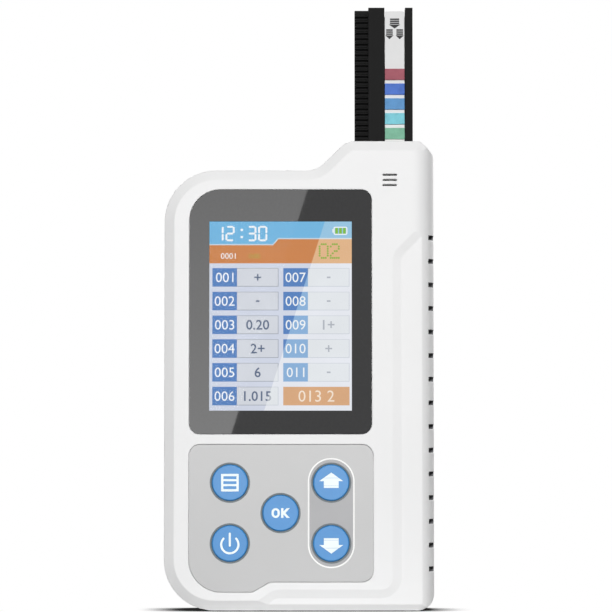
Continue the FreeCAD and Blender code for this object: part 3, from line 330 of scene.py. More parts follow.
def lit_page(name, colour, pale):
    """One colour of the lit screen: a fine grid of picture cells, and a paler field of painted glare right of a
    slanting line.
    """
    material, tree, place = new_material(name)
    drift = add(tree, "TexNoise", {"Vector": place, "Scale": per_mm(12.0), "Detail": 2.0})
    share = add(tree, "MapRange", {0: drift, 1: 0.3, 2: 0.7})
    left, right = [add(tree, "Mix", {0: share, 6: linear(tone), 7: shade(linear(tone), 1.06)}, data_type="RGBA")
                   for tone in (colour, pale)]
    # Painted glare: the paler copy of the colour is used right of the slanting line.
    glow = add(tree, "Mix", {0: beside(tree, place, *GLARE), 6: left, 7: right}, data_type="RGBA")
    axes = add(tree, "SeparateXYZ", {"Vector": place})
    for axis in ("X", "Z"):  # drawn at 0.28 mm, coarser than real cells, so that the grid shows
        turn = add(tree, "Math", {0: axes.outputs[axis], 1: 2 * math.pi * per_mm(0.28)}, operation="MULTIPLY")
        wave = add(tree, "Math", {0: turn}, operation="SINE")
        cell = add(tree, "MapRange", {0: wave, 1: -1.0, 2: 0.2, 3: 0.96, 4: 1.0})
        glow = add(tree, "Mix", {0: 1.0, 6: glow, 7: cell}, data_type="RGBA", blend_type="MULTIPLY")
    shader = add(tree, "BsdfPrincipled", {
        "Base Color": (0.0, 0.0, 0.0, 1), "Roughness": 0.5, "Specular IOR Level": 0.0,
        "Emission Color": glow, "Emission Strength": 1.06})
    add(tree, "OutputMaterial", {"Surface": shader})
    return material


def circuit_board(name, colour):
    """Glass-epoxy board under green solder resist: glossy lacquer over darker tracks, with a faint woven core."""
    material, tree, place = new_material(name)
    base = linear(colour)
    turned = add(tree, "Mapping", {"Vector": place, "Rotation": (math.radians(90), 0, 0)})
    tracks = add(tree, "TexBrick", {"Vector": turned, "Scale": per_mm(6.0), "Mortar Size": 0.04,
                                    "Color1": (1, 1, 1, 1), "Color2": (1, 1, 1, 1), "Mortar": (0, 0, 0, 1)})
    weave = add(tree, "TexNoise", {"Vector": place, "Scale": per_mm(0.5), "Detail": 2.0})
    skin = add(tree, "Mix", {0: tracks, 6: shade(base, 1.5), 7: base}, data_type="RGBA")
    thread = add(tree, "MapRange", {0: weave, 4: 0.25})
    skin = add(tree, "Mix", {0: thread, 6: skin, 7: shade(base, 0.75)}, data_type="RGBA")
    bump = add(tree, "Bump", {"Height": tracks, "Strength": 0.5, "Distance": 0.03 * MM}, invert=True)
    gloss = add(tree, "MapRange", {0: weave, 3: 0.25, 4: 0.4})
    shader = add(tree, "BsdfPrincipled", {"Base Color": skin, "Roughness": gloss, "Normal": bump})
    add(tree, "OutputMaterial", {"Surface": shader})
    return material


def reagent_paper(name, colour):
    """Filter paper soaked in reagent and dried: short matted fibres, a blotchy stain and no gloss."""
    material, tree, place = new_material(name)
    base = linear(colour)
    long_way = add(tree, "Mapping", {"Vector": place, "Scale": (1.0, 1.0, 0.35)})
    fibre = add(tree, "TexNoise", {"Vector": long_way, "Scale": per_mm(0.22), "Detail": 4.0, "Distortion": 0.8})
    stain = add(tree, "TexNoise", {"Vector": place, "Scale": per_mm(2.2), "Detail": 2.0})
    blotch = add(tree, "MapRange", {0: stain, 1: 0.3, 2: 0.7})
    skin = add(tree, "Mix", {0: blotch, 6: shade(base, 0.9), 7: shade(base, 1.1)}, data_type="RGBA")
    raised = add(tree, "MapRange", {0: fibre, 1: 0.45, 2: 0.7, 4: 0.3})
    skin = add(tree, "Mix", {0: raised, 6: skin, 7: shade(base, 1.35)}, data_type="RGBA")
    bump = add(tree, "Bump", {"Height": fibre, "Strength": 0.8, "Distance": 0.05 * MM})
    shader = add(tree, "BsdfPrincipled", {"Base Color": skin, "Roughness": 0.92, "Normal": bump})
    add(tree, "OutputMaterial", {"Surface": shader})
    return material


def screen_box():
    """Left, right, bottom and top of the lit area, in millimetres, from the lens that covers it."""
    low, high = millimetres("display_lens")
    left, right, bottom, top = 5.42, 5.37, 6.3, 8.7  # widths of the printed border
    return low.x + left, high.x - right, low.z + bottom, high.z - top


# ------------------------------ settings
def hue(name, description, default):
    """A colour that a user may change, given as sRGB hex."""
    return bpy.props.FloatVectorProperty(name=name, description=description, default=linear(default), size=4,
                                         min=0.0, max=1.0, subtype="COLOR")


def length(name, description, default):
    """A size that a user may change, given in millimetres."""
    return bpy.props.FloatProperty(name=name, description=description, default=default * MM, min=0.01 * MM,
                                   precision=5, unit="LENGTH")


def amount(name, description, default, kind="NONE"):
    """An amount of light that a user may change."""
    return bpy.props.FloatProperty(name=name, description=description, default=default, min=0.0, subtype=kind,
                                   unit=kind)


def in_mm(group):
    """A group's sizes in millimetres, and its colours as they are."""
    values = {name: getattr(group, name) for name in group.__annotations__}
    return types.SimpleNamespace(**{k: v / MM if isinstance(v, float) else v for k, v in values.items()})


class ReaderColours(bpy.types.PropertyGroup):
    """Colours of the visible finishes."""

    case: hue("Case", "Moulded shells, door and bezels", "efefef")
    overlay: hue("Key overlay", "Printed film that the keys stand in", "bcbcbc")
    key: hue("Keys", "Key caps", "3687c8")
    rim: hue("Key rims", "Seal round each key", "656f74")
    pill: hue("Arrow field", "Darker field behind the arrow keys", "a2a2a4")
    sign: hue("Signs", "White signs printed on the keys", "f0fafa")
    border: hue("Lens border", "Dark print behind the lens", "212122")
    tray: hue("Tray", "Strip tray and its rack", "0d0d0d")
    strip: hue("Strip", "Carrier of the test strip", "dddddd")


class ReaderPage(bpy.types.PropertyGroup):
    """Colours and sizes of the page on the screen."""

    sky: hue("Clock bar", "Bar behind the clock", "77b9e3")
    # The _glare colours are painted glare: paler copies of the page's colours, used right of the slanting line.
    sky_glare: hue("Clock bar, pale", "Beyond the slanting line", "9bc8e5")
    amber: hue("State bar", "Bar under the clock", "cf8855")
    amber_glare: hue("State bar, pale", "Beyond the slanting line", "e4b88e")
    ground: hue("Page", "Page behind the cells", "d3d9e8")
    ground_glare: hue("Page, pale", "Beyond the slanting line", "e9ecf3")
    label: hue("Label cells", "Numbered cells", "5d86c2")
    label_glare: hue("Label cells, pale", "Beyond the slanting line", "8eb4dc")
    figure: hue("Figures", "White figures", "f4f8fc")
    value: hue("Values", "Dark signs in the value cells", "66738c")
    value_glare: hue("Values, pale", "Beyond the slanting line", "b4b9c2")
    rows: bpy.props.IntProperty(name="Rows", description="Rows of cells", default=6, min=1, max=6)
    pitch: length("Row pitch", "Distance from one row to the next", 6.44)
    height: length("Cell height", "Height of a cell", 5.03)


class ReaderSigns(bpy.types.PropertyGroup):
    """Sizes of what is printed on and around the keys."""

    list_width: length("List sign", "Width of the list sign", 4.75)
    power_radius: length("Power sign", "Middle radius of the power sign", 2.33)
    line: length("Line width", "Width of the signs' lines", 0.56)
    letters: length("OK height", "Height of the OK sign", 2.62)
    field_width: length("Arrow field", "Width of the field behind the arrow keys", 12.6)
    field_line: length("Field line", "Width of the white line round that field", 0.42)


class ReaderLight(bpy.types.PropertyGroup):
    """Lamps of the stage."""

    room: amount("Room", "Strength of the even light", 0.03)
    key: amount("Main lamp", "Power of the main lamp", 21.0, "POWER")
    rear: amount("Rear lamps", "Power of each rear lamp", 15.0, "POWER")
    card: amount("Card", "Brightness of the card that the lens mirrors", 3.6)


KEYS = "menu", "power", "ok", "up", "down"


def key_centre(key):
    """Middle of a key's face and its front, in millimetres."""
    low, high = millimetres("key_" + key)
    return (low.x + high.x) / 2, (low.z + high.z) / 2, low.y


# ------------------------------ operators
class READER_OT_case(bpy.types.Operator):
    """Gives the shells, the door and the feet their moulded finishes"""

    bl_idname = "reader.case"
    bl_label = "Case finishes"

    def execute(self, context):
        colours = context.scene.reader_colours
        cover(moulded_abs(colours), "front_shell", "rear_shell", "battery_door")
        # Moulded thermoplastic rubber: dark, dull and a little dusty.
        rubber = finish("moulded rubber", "4a4b4d", 0.78, mottle=0.08, mottle_mm=3.0, grain_mm=0.25,
                        grain_depth=0.01, edge_mm=0.15)
        cover(rubber, "rubber_feet")
        inlays = bmesh.new()
        side = millimetres("rear_shell")[1].x
        tall, deep, back, long = 0.58, 1.49, 10.2, 18.8  # half height, depth, rear end and length of an inlay
        for count in range(GROOVES):
            level = GROOVE_LOW + GROOVE_PITCH * count
            plate(inlays, side - deep, side - 0.1, level - tall, level + tall, 0.2, 3)
        # Grey rubber inlays deep in the grip grooves: a grip insert whose grey also stands in for the shade inside
        # the grooves. Mid grey, dead matt, a little blotchy.
        inlay_shade = finish("soft grip rubber", "69696b", 0.85, mottle=0.1, mottle_mm=2.0, grain_mm=0.25, grain_depth=0.01)
        printed("grip_inlays", inlays, back, inlay_shade, "case", depth=long)
        return {"FINISHED"}


class READER_OT_overlay(bpy.types.Operator):
    """Gives the key overlay its film, and adds the field behind the arrow keys and the rim of each key"""

    bl_idname = "reader.overlay"
    bl_label = "Key overlay"

    def execute(self, context):
        colours, signs = context.scene.reader_colours, in_mm(context.scene.reader_signs)
        # Screen-printed polyester film: smooth, satin, with the faintest cloud in its ink.
        film = finish("printed polyester film", colours.overlay, 0.38, mottle=0.006, mottle_mm=18.0, grain_mm=0.2,
                      grain_depth=0.002, edge_mm=0.12)
        cover(film, "keypad_overlay")
        face = millimetres("keypad_overlay")[0].y
        (x, top, _), (_, bottom, _) = key_centre("up"), key_centre("down")
        half, rim = signs.field_width / 2, 5.43
        inner_half, reach = half - signs.field_line, half + 0.35
        shape = (x - inner_half, x + inner_half, bottom - reach + signs.field_line, top + reach - signs.field_line,
                 inner_half * 0.999, 20)
        line, field = bmesh.new(), bmesh.new()
        outer = plate(line, x - half, x + half, bottom - reach, top + reach, half * 0.999, 20)
        pierce(line, outer, plate(line, *shape))
        # Opaque white screen ink: flat and matt.
        white = finish("white screen ink", "f4f4f2", 0.5, mottle=0.01, mottle_mm=2.0, grain_mm=0.15)
        printed("arrow_field_line", line, face, white, "case")
        whole = plate(field, *shape)
        pierce(field, whole, disc(field, x, top, rim), disc(field, x, bottom, rim))
        # Grey screen ink over the same film.
        ink = finish("grey screen ink", colours.pill, 0.42, mottle=0.01, mottle_mm=6.0, grain_mm=0.2)
        printed("arrow_field", field, face, ink, "case")
        # Moulded silicone seal: a dark slate ring filling the gap round each key, its dark tone also standing in for
        # the shade in that gap. Dull, rounded where it turns in to the key.
        seal = finish("silicone seal", colours.rim, 0.6, mottle=0.04, mottle_mm=1.5, grain_mm=0.15)
        for key in KEYS:
            kx, kz, _ = key_centre(key)
            ring = bmesh.new()
            plate(ring, kx + 4.94, kx + 5.46, -0.16, 0.02, 0.08, 3)  # the ring's section
            bmesh.ops.transform(ring, matrix=Matrix.Translation((0, kz, 0)) @ UPRIGHT, verts=ring.verts)
            profile = ring.faces[:]
            bmesh.ops.spin(ring, geom=[*ring.verts, *ring.edges], cent=(kx, kz, 0), axis=(0, 0, 1),
                           angle=math.radians(360), steps=72, use_merge=True)
            bmesh.ops.delete(ring, geom=profile, context="FACES_ONLY")
            stand = Matrix.Translation((0, face * MM, 0)) @ Matrix.Scale(MM, 4) @ UPRIGHT
            bmesh.ops.transform(ring, matrix=stand, verts=ring.verts)
            piece(f"key_rim_{key}", ring, seal, "case")
        return {"FINISHED"}


class READER_OT_keys(bpy.types.Operator):
    """Gives the key caps their finish and prints a sign on each"""

    bl_idname = "reader.keys"
    bl_label = "Keys and signs"

    def execute(self, context):
        colours, signs = context.scene.reader_colours, in_mm(context.scene.reader_signs)
        # Moulded silicone with a satin hard coat: an even soft sheen.
        blue = finish("satin blue silicone", colours.key, 0.4, mottle=0.012, mottle_mm=4.0, grain_mm=0.18,
                      grain_depth=0.003, edge_mm=0.3)
        cover(blue, *("key_" + key for key in KEYS))
        ink = finish("white key ink", colours.sign, 0.5, mottle=0.01, mottle_mm=2.0, grain_mm=0.15)
        for key in KEYS:
            drawing = bmesh.new()
            x, z, face = key_centre(key)
            getattr(self, key)(drawing, x, z, signs)
            printed(f"key_sign_{key}", drawing, face, ink, f"key_{key}_cap")
        return {"FINISHED"}

    def menu(self, bm, x, z, signs):
        """A square list sign with three slots through it."""
        half, slot, tall = signs.list_width / 2, 1.76, 0.39
        outer = plate(bm, x - half, x + half, z - half, z + half, 0.1, 3)
        slots = [plate(bm, x - slot, x + slot, z + at - tall, z + at + tall, 0.05, 2) for at in (-1.34, 0.0, 1.34)]
        pierce(bm, outer, *slots)

    def power(self, bm, x, z, signs):
        """A broken ring and a bar through its gap."""
        low = z - 0.3
        stroke(bm, x, low, 130, 280, signs.power_radius, signs.line, tip=signs.line * 0.45)
        half = signs.line / 2
        plate(bm, x - half, x + half, low - 0.55, low + 3.2, half * 0.98)

    def ok(self, bm, x, z, signs):
        """The two letters that confirm a choice."""
        half, left, stem = signs.letters / 2, x + 0.14, 0.64
        outer = plate(bm, x - 2.42, x - 0.2, z - half, z + half, 1.09, 10)
        pierce(bm, outer, plate(bm, x - 1.8, x - 0.82, z - half + 0.58, z + half - 0.58, 0.48, 8))
        plate(bm, left, left + stem, z - half, z + half)
        for turn in (1, -1):
            polygon(bm, [(left + stem, z - turn * 0.34), (left + stem, z + turn * 0.42),
                         (x + 1.66, z + turn * half), (x + 2.5, z + turn * half), (x + 1.3, z)])

    def up(self, bm, x, z, signs, turn=1):
        """A block arrow split by two fine lines."""
        wide, tip, foot, stem = 3.22, 2.73, 0.42, 2.0
        slope = wide / (tip - foot)
        for low, high in ((foot, 1.22), (1.28, tip)):
            at_low, at_high = (tip - low) * slope, (tip - high) * slope
            corners = [(x - at_low, z + turn * low), (x + at_low, z + turn * low), (x + at_high, z + turn * high)]
            if at_high:
                corners.append((x - at_high, z + turn * high))
            polygon(bm, corners)
        for high, low in ((foot, -0.84), (-0.9, -1.42)):
            plate(bm, x - stem, x + stem, *sorted((z + turn * low, z + turn * high)))

    def down(self, bm, x, z, signs):
        """The same arrow upside down."""
        self.up(bm, x, z, signs, -1)


class READER_OT_screen(bpy.types.Operator):
    """Gives the lens its printed border and lays the lit page on the panel behind it"""

    bl_idname = "reader.screen"
    bl_label = "Lens and page"

    def execute(self, context):
        colours, page = context.scene.reader_colours, in_mm(context.scene.reader_page)
        cover(printed_lens(colours), "display_lens")
        # Liquid crystal panel: two sheets of float glass, nearly black where unlit.
        cover(finish("panel glass", "1a1c1f", 0.12, mottle_mm=10.0, grain_mm=2.0, spread=0.03), "lcd_panel")
        left, right, bottom, top = screen_box()
        self.level = millimetres("lcd_panel")[0].y
        self.ground(page, left - 0.5, right + 0.5, bottom - 0.5, top + 0.5, top)
        self.level -= PRINT
        self.cells(page, left, right, top)
        self.clock(page, left, right, top)
        return {"FINISHED"}

    def layer(self, name, bm, colour, pale=None):
        """Lays one drawing on the panel in one colour, or in a paler one too beyond the slanting line, as painted
        glare.
        """
        printed(name, bm, self.level, lit_page("lit " + name, colour, pale or colour), "case")

    def ground(self, page, left, right, bottom, edge, top):
        """The page and the two bars over it."""
        ground, bar, edging, state = (bmesh.new() for _ in range(4))
        plate(ground, left, right, bottom, edge)
        self.layer("page_ground", ground, page.ground, page.ground_glare)
        self.level -= PRINT
        foot, head, low, high, line = -7.25, -5.8, top - 5.85, top - 4.2, 0.32  # step of the clock bar, its edging
        under = [(foot + 0.13, low - line), (head + 0.13, high - line)]
        polygon(bar, [(left, edge), (left, low), (foot, low), (head, high), (right, high), (right, edge)])
        polygon(edging, [(left, low), (left, low - line), *under, (right, high - line), (right, high), (head, high),
                         (foot, low)])
        polygon(state, [(left, low - line), (left, top - 11.1), (right, top - 11.1), (right, high - line),
                        *reversed(under)])
        # The second colour of each pair is painted glare, used beyond the slanting line.
        self.layer("page_clock_bar", bar, page.sky, page.sky_glare)
        self.layer("page_bar_line", edging, "c9d9e2", "dbe3e6")
        self.layer("page_state_bar", state, page.amber, page.amber_glare)

    def cells(self, page, left, right, top):
        """Two columns of numbered cells with a value cell beside each."""
        labels, boxes, fills, numbers, values, amber, count = (bmesh.new() for _ in range(7))
        marks = ("+", "-", "0.20", "2+", "6", "1.015", "-", "-", "1+", "+", "-")
        place, first, gap, line = 0, 12.4, 0.04, 0.16
        for column, (start, split, end) in enumerate(((left + 0.7, left + 7.35, -5.66), (-4.36, 2.31, right - 0.6))):
            for row in range(page.rows):
                high = top - first - row * page.pitch
                low = high - page.height
                if column == 1 and row == page.rows - 1:
                    plate(amber, start, end, low, high)
                    figures(count, "013 2", (start + end) / 2, (low + high) / 2, 3.2)
                    break
                plate(labels, start, split, low, high)
                outer = plate(boxes, split, end, low, high)
                inner = split + gap, end - line, low + line, high - line + gap
                pierce(boxes, outer, plate(boxes, *inner))
                plate(fills, *inner)
                figures(numbers, f"{place + 1:03d}", (start + split) / 2, (low + high) / 2, 2.75)
                figures(values, marks[place], (split + end) / 2, (low + high) / 2, 2.8, weight=0.012)
                place += 1
        # The second colour of each pair is painted glare, used beyond the slanting line.
        self.layer("page_labels", labels, page.label, page.label_glare)
        self.layer("page_boxes", boxes, "9ba1ac", "ccd2da")
        self.layer("page_fills", fills, "d6dae2", "e6eaee")
        self.layer("page_amber_cell", amber, "dda474", "dbac84")
        self.level -= PRINT
        self.layer("page_numbers", numbers, page.figure)
        self.layer("page_values", values, page.value, page.value_glare)
        self.layer("page_count", count, "f6e6d4")

    def clock(self, page, left, right, top):
        """A seven-bar clock, a battery sign and a counter of dots."""
        bars = {"0": "abcdef", "1": "bc", "2": "abged", "3": "abgcd"}
        digits = bmesh.new()
        base, wide, tall, thick = top - 5.1, 2.5, 4.2, 0.52
        half, gap = thick / 2, 0.1
        for at, figure in ((-23.05, "1"), (-20.05, "2"), (-14.15, "3"), (-11.2, "0")):
            spots = {"a": (tall - thick, tall), "g": (tall / 2 - half, tall / 2 + half), "d": (0, thick)}
            for bar in bars[figure]:
                if bar in spots:
                    x0, x1 = at + thick * 0.8, at + wide - thick * 0.8
                    z0, z1 = spots[bar]
                else:
                    x0 = at if bar in "ef" else at + wide - thick
                    x1 = x0 + thick
                    z0, z1 = (tall / 2 + gap, tall - half) if bar in "bf" else (half, tall / 2 - gap)
                plate(digits, x0, x1, base + z0, base + z1, 0.2, 2)
        for z in (1.15, 3.1):
            plate(digits, -15.95, -15.3, base + z - 0.32, base + z + 0.32, 0.15, 2)
        low, high = top - 3.35, top - 1.15
        outer = plate(digits, right - 4.9, right - 1.15, low, high, 0.45, 3)
        pierce(digits, outer, plate(digits, right - 4.62, right - 1.43, low + 0.28, high - 0.28, 0.2, 2))
        plate(digits, right - 5.2, right - 4.95, low + 0.6, high - 0.6, 0.1, 2)
        figures(digits, "0001", left + 5.0, top - 9.1, 1.65)
        self.layer("page_clock", digits, page.figure)
        charge, dots, small = bmesh.new(), bmesh.new(), bmesh.new()
        for count in range(3):
            start = right - 4.46 + count * 1.06
            plate(charge, start, start + 0.76, low + 0.3, high - 0.3, 0.08, 2)
        self.layer("page_battery_cells", charge, "86be4c")
        figures(small, "0:00", left + 12.1, top - 9.1, 1.35, weight=0.01)
        self.layer("page_small_count", small, "a9a24e")
        shapes = (("01110", *["10001"] * 5, "01110"),
                  ("01110", "10001", "00001", "00110", "01000", "10000", "11111"))
        for start, rows in zip((5.5, 8.5), shapes):
            for row, line in enumerate(rows):
                for column, dot in enumerate(line):
                    if dot == "1":
                        disc(dots, start + column * 0.55, top - 5.9 - row * 0.62, 0.29, 8)
        self.layer("page_counter", dots, "98b455")


class READER_OT_strip(bpy.types.Operator):
    """Gives the test strip, its pads and the tray their finishes, and prints the insertion arrows"""

    bl_idname = "reader.strip"
    bl_label = "Strip and tray"

    def execute(self, context):
        colours = context.scene.reader_colours
        # Moulded acetal: near black, satin, waxy along its edges.
        cover(finish("moulded black acetal", colours.tray, 0.75, mottle=0.06, mottle_mm=4.0, grain_mm=0.25,
                     edge_mm=0.12, specular=0.15), "strip_tray")
        # Rigid white PVC sheet, sheared to width: smooth, faintly glossy.
        cover(finish("rigid white PVC", colours.strip, 0.6, mottle=0.012, mottle_mm=5.0, grain_mm=0.3,
                     grain_depth=0.002, edge_mm=0.06, specular=0.3), "test_strip")
        # Glazed ceramic reference tile: bright, hard and clean.
        cover(finish("glazed ceramic", "f4f4f1", 0.15, mottle=0.01, mottle_mm=3.0, grain_mm=0.8, spread=0.04),
              "white_tile")
        pads = ("9e5964", "5073c4", "5f93c5", "7ac3d0", "79af95", "b9b57a", "d8cf9a", "c9a27c", "c7b6c9", "d9d6c6",
                "e3dcc0")
        for count, colour in enumerate(pads, 1):
            cover(reagent_paper(f"reagent paper {count:02d}", colour), f"reagent_pad_{count:02d}")
        low, high = millimetres("test_strip")
        middle = (low.x + high.x) / 2
        arrows = bmesh.new()
        for across, head, wide in ((0.0, 2.0, 1.6), (-1.42, 5.0, 1.15), (1.42, 5.0, 1.15)):
            at, foot = middle + across, high.z - head - 2.8
            for bar in range(3):
                level = foot + 1.22 + bar * 0.57
                plate(arrows, at - wide * 0.8, at + wide * 0.8, level, level + 0.44)
            polygon(arrows, [(at, foot), (at + wide, foot + 1.1), (at - wide, foot + 1.1)])
        # Black transfer ink, dry and slightly worn.
        ink = finish("black transfer ink", "121213", 0.7, mottle=0.1, mottle_mm=0.8, grain_mm=0.1)
        printed("strip_arrows", arrows, low.y, ink, "strip")
        return {"FINISHED"}


class READER_OT_door(bpy.types.Operator):
    """Adds the grip ribs and the opening arrow to the battery door"""

    bl_idname = "reader.door"
    bl_label = "Battery door grip"

    def execute(self, context):
        low, high = millimetres("battery_door")
        middle = (low.x + high.x) / 2
        grip = moulded_abs(context.scene.reader_colours)
        ribs = bmesh.new()
        thick, half, wide, first, pitch, point = 0.45, 0.45, 7.0, 8.0, 1.9, 23.4
        for count in range(5):
            at = high.z - first - count * pitch
            plate(ribs, middle - wide, middle + wide, at - half, at + half, 0.44, 5)
        polygon(ribs, [(middle, high.z - point), (middle + 3.0, high.z - point + 3.4),
                       (middle - 3.0, high.z - point + 3.4)])
        bmesh.ops.solidify(ribs, geom=ribs.faces[:], thickness=thick)
        bottom = min(v.co.z for v in ribs.verts)
        top_edges = [e for e in ribs.edges if all(abs(v.co.z - bottom) < 0.01 for v in e.verts)]
        bmesh.ops.bevel(ribs, geom=top_edges, offset=0.18, offset_type="OFFSET", affect="EDGES", segments=3,
                        profile=0.5, material=-1)
        bmesh.ops.transform(ribs, matrix=Matrix.Scale(MM, 4) @ UPRIGHT, verts=ribs.verts)
        shift = (high.y + thick - 0.02) * MM - max(v.co.y for v in ribs.verts)
        bmesh.ops.translate(ribs, verts=ribs.verts, vec=(0, shift, 0))
        piece("door_grip", ribs, grip, "door")
        return {"FINISHED"}


class READER_OT_inside(bpy.types.Operator):
    """Gives the parts inside the case their finishes"""

    bl_idname = "reader.inside"
    bl_label = "Inside finishes"

    def execute(self, context):
        cover(circuit_board("solder resist", "1f5a3a"), "main_board", "sensor_board")
        plan = (
            # Moulded epoxy packages: charcoal, dull, faintly speckled with filler.
            (("moulded epoxy", "232426", 0.55, dict(mottle=0.1, mottle_mm=1.0, grain_mm=0.12)),
             ("processor_chip", "motor_driver_chip", "charger_chip", "photodiodes", "tact_switches", "home_switch",
              "buzzer")),
            # Clear epoxy lamp bodies, milky at their edges.
            (("clear epoxy", "d8dde0", 0.18, dict(mottle=0.02, mottle_mm=1.0, grain_mm=0.5, spread=0.03)),
             ("led_emitters",)),
            # Moulded nylon: ivory, satin.
            (("moulded nylon", "e2dac2", 0.42, dict(mottle=0.02, mottle_mm=3.0, grain_mm=0.2)),
             ("lcd_connector", "ribbon_connectors", "battery_connector")),
            # Bright rolled steel sheet, drawn and nickel plated: fine lines one way.
            (("nickel-plated steel sheet", "b9b7b2", 0.28, dict(metallic=1.0, mottle_mm=5.0, grain_mm=0.2,
                                                               stretch=(1, 1, 0.04), edge_mm=0.1)),
             ("usb_socket", "lcd_frame", "drive_motor")),
            # Die-cast zinc, tumbled: greyer and softer than the sheet.
            (("tumbled zinc", "9b9ea0", 0.42, dict(metallic=1.0, mottle=0.06, mottle_mm=2.0, grain_mm=0.25,
                                                   edge_mm=0.15)), ("gearbox",)),
            # Ground steel rod: lines round the shaft.
            (("ground steel", "c4c6c8", 0.22, dict(metallic=1.0, grain_mm=0.15, stretch=(0.05, 1, 1))),
             ("output_shaft",)),
            # Hobbed brass: warm, bright on the tooth flanks, dull in the roots.
            (("hobbed brass", "c9a25a", 0.3, dict(metallic=1.0, mottle=0.06, mottle_mm=1.5, grain_mm=0.15,
                                                  stretch=(0.08, 1, 1), edge_mm=0.06)), ("drive_pinion",)),
            # Zinc-plated screws: bluish, a little uneven.
            (("zinc-plated steel", "aeb4b8", 0.32, dict(metallic=1.0, mottle=0.05, mottle_mm=1.2, grain_mm=0.15,
                                                        edge_mm=0.1)),
             ("case_screws", "board_screws", "sensor_screws", "guide_screws")),
            # Black moulded nylon carriers: satin, with a soft flow mottle.
            (("black moulded nylon", "2a2b2d", 0.45, dict(mottle=0.05, mottle_mm=5.0, grain_mm=0.25, edge_mm=0.12)),
             ("optical_head", "tray_guide")),
            # Heat-shrunk film over the cell: a blue-grey gloss with slack ripples.
            (("heat-shrunk film", "5f7fa8", 0.26, dict(mottle=0.04, mottle_mm=8.0, grain_mm=2.2, grain_depth=0.06,
                                                       clear_coat=0.4)), ("battery_pack",)),
            # Soft PVC sleeve of the leads.
            (("soft red PVC", "a8322c", 0.4, dict(mottle=0.05, mottle_mm=2.0, grain_mm=0.3)),
             ("battery_leads", "motor_leads")),
            # Polyimide film: amber, glossy, its tracks showing as a faint grain along it.
            (("polyimide film", "b9762a", 0.25, dict(mottle=0.05, mottle_mm=3.0, grain_mm=0.5, stretch=(6, 1, 0.2))),
             ("lcd_flex",)),
            # Grey flat cable: ribbed along its length.
            (("flat cable PVC", "b7babd", 0.45, dict(grain_mm=0.6, grain_depth=0.05, stretch=(4, 1, 0.1))),
             ("sensor_ribbon",)),
            # Double-sided tape: thin, cloudy, slightly tacky sheen.
            (("foam tape", "35373a", 0.7, dict(mottle=0.06, mottle_mm=1.0, grain_mm=0.2, grain_depth=0.02)),
             ("lens_tape",)),
            # Open-cell foam: dead matt with small pores.
            (("open-cell foam", "2c2d2f", 0.95, dict(mottle=0.15, mottle_mm=0.8, grain_mm=0.4, grain_depth=0.12)),
             ("lcd_gasket",)),
        )
        for (name, colour, roughness, more), nodes in plan:
            cover(finish(name, colour, roughness, **more), *nodes)
        return {"FINISHED"}


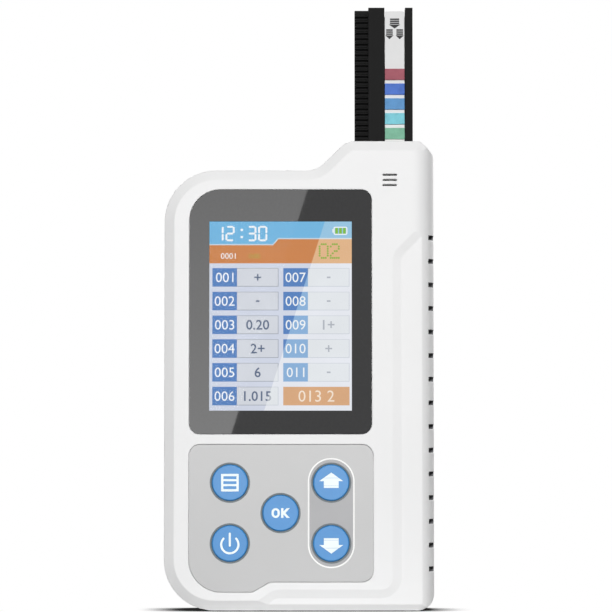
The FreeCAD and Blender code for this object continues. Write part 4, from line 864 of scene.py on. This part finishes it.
class READER_OT_stage(bpy.types.Operator):
    """Adds the floor, the white surround, the lamps and the camera"""

    bl_idname = "reader.stage"
    bl_label = "Stage"

    def execute(self, context):
        scene, light = context.scene, context.scene.reader_light
        scene.view_settings.view_transform = "Standard"
        self.surround(scene, light.room)
        floor = self.floor()
        middle = Vector((0.0018, cad_low.y, 0.075))
        lit = bpy.data.collections.new("lit by the lamps")
        lit.objects.link(floor)
        lit.collection_objects[0].light_linking.link_state = "EXCLUDE"
        for name, place, power, size in (("main_lamp", (0.05, -1.44, 0.465), light.key, 0.3),
                                         ("rear_lamp_left", (-0.95, 1.15, 0.6), light.rear, 0.5),
                                         ("rear_lamp_right", (0.85, 1.2, 0.6), light.rear, 0.5)):
            data = bpy.data.lights.new(name, "AREA")
            data.energy, data.size = power, size
            self.aim(scene, name, data, place, middle).light_linking.receiver_collection = lit
        self.card(light.card)
        lens = bpy.data.cameras.new("camera")
        lens.lens, lens.clip_start, lens.clip_end = 196.3, 0.02, 60.0
        scene.camera = self.aim(scene, "camera", lens, EYE, SIGHT)
        return {"FINISHED"}

    def surround(self, scene, room):
        """Even light from all round, seen as white by the camera, in gloss and through the lens."""
        world = bpy.data.worlds.new("surround")
        scene.world = world
        world.use_nodes = True
        tree = world.node_tree
        tree.nodes.clear()
        lit = add(tree, "Background", {"Color": (1, 1, 1, 1), "Strength": room})
        white = add(tree, "Background", {"Color": (1, 1, 1, 1), "Strength": 1.0})
        both = add(tree, "MixShader", {0: self.seen(tree), 1: lit, 2: white})
        add(tree, "OutputWorld", {"Surface": both})

    def seen(self, tree):
        """1 for rays of the camera, of gloss and through glass, 0 for those that light the object."""
        ray = add(tree, "LightPath").outputs
        shown = ray["Is Camera Ray"]
        for kind in ("Is Glossy Ray", "Is Transmission Ray"):
            shown = add(tree, "Math", {0: shown, 1: ray[kind]}, operation="MAXIMUM")
        return shown

    def floor(self):
        """Pale floor, white to the camera apart from the object's shadow."""
        material, tree, place = new_material("pale floor")
        grain = add(tree, "TexNoise", {"Vector": place, "Scale": 40.0})
        tone = add(tree, "Mix", {0: grain, 6: (0.79, 0.79, 0.79, 1), 7: (0.81, 0.81, 0.81, 1)}, data_type="RGBA")
        shaded = add(tree, "BsdfDiffuse", {"Color": tone})
        # Leaning back, so that the shadow falls towards the viewer.
        lean = add(tree, "CombineXYZ", {"Y": 0.7, "Z": 0.7})
        open_sky = add(tree, "AmbientOcclusion", {"Distance": 0.012, "Normal": lean}, samples=16).outputs["AO"]
        shadow = add(tree, "MapRange", {0: open_sky, 1: 0.52, 2: 0.95, 3: 0.02, 4: 1.0})
        white = add(tree, "Emission", {"Color": shadow, "Strength": 1.0})
        both = add(tree, "MixShader", {0: self.seen(tree), 1: shaded, 2: white})
        add(tree, "OutputMaterial", {"Surface": both})
        bm = bmesh.new()
        bmesh.ops.create_grid(bm, x_segments=1, y_segments=1, size=6.0, matrix=Matrix.Translation((0, 0, cad_low.z)))
        floor = place_mesh("floor", bm, material)
        return floor

    def aim(self, scene, name, data, place, target):
        """Stands a lamp or the camera at a place, facing the target."""
        made = bpy.data.objects.new(name, data)
        scene.collection.objects.link(made)
        made.location = place
        made.rotation_euler = (target - made.location).to_track_quat("-Z", "Y").to_euler()
        return made

    def card(self, brightness):
        """A white card behind the camera that only gloss mirrors, with a slanting edge across the lens."""
        back, front = -1.8, cad_low.y + 0.0004
        reach = (front - back) / (front - EYE.y)
        bm = bmesh.new()
        seen_at = (-0.05, 0.125), (0.00574, 0.125), (-0.0205, 0.0405), (-0.05, 0.0405)  # corners as mirrored (x, z)
        bm.faces.new([bm.verts.new((x + (x - EYE.x) * reach, back, z + (z - EYE.z) * reach)) for x, z in seen_at])
        material, tree, place = new_material("bright card")
        height = add(tree, "SeparateXYZ", {"Vector": place}).outputs["Z"]
        rise = add(tree, "MapRange", {0: height, 1: 0.08, 2: 0.3, 3: brightness * 1.35, 4: brightness * 0.98})
        glow = add(tree, "Emission", {"Color": (1, 1, 1, 1), "Strength": rise})
        add(tree, "OutputMaterial", {"Surface": glow})
        card = place_mesh("mirror_card", bm, material)
        for sees in ("camera", "diffuse", "transmission", "volume_scatter", "shadow"):
            setattr(card, "visible_" + sees, False)


OPERATORS = (READER_OT_case, READER_OT_overlay, READER_OT_keys, READER_OT_screen, READER_OT_strip, READER_OT_door,
             READER_OT_inside, READER_OT_stage)
GROUPS = {"reader_colours": ReaderColours, "reader_page": ReaderPage, "reader_signs": ReaderSigns,
          "reader_light": ReaderLight}


class READER_PT_panel(bpy.types.Panel):
    """Lists the settings and the operators in the sidebar"""

    bl_idname = "READER_PT_panel"
    bl_label = "Strip Reader"
    bl_space_type = "VIEW_3D"
    bl_region_type = "UI"
    bl_category = "Strip Reader"

    def draw(self, context):
        for name, group in GROUPS.items():
            column = self.layout.column(align=True)
            for setting in group.__annotations__:
                column.prop(getattr(context.scene, name), setting)
        for operator in OPERATORS:
            self.layout.operator(operator.bl_idname)


def register():
    for made in (*GROUPS.values(), *OPERATORS, READER_PT_panel):
        bpy.utils.register_class(made)
    for name, group in GROUPS.items():
        setattr(bpy.types.Scene, name, bpy.props.PointerProperty(type=group))


def unregister():
    for name in GROUPS:
        delattr(bpy.types.Scene, name)
    for made in (READER_PT_panel, *reversed(OPERATORS), *reversed(GROUPS.values())):
        bpy.utils.unregister_class(made)


def main():
    """Makes every piece in order."""
    register()
    for operator in OPERATORS:
        group, name = operator.bl_idname.split(".")
        getattr(getattr(bpy.ops, group), name)()


if __name__ == "__main__":
    main()
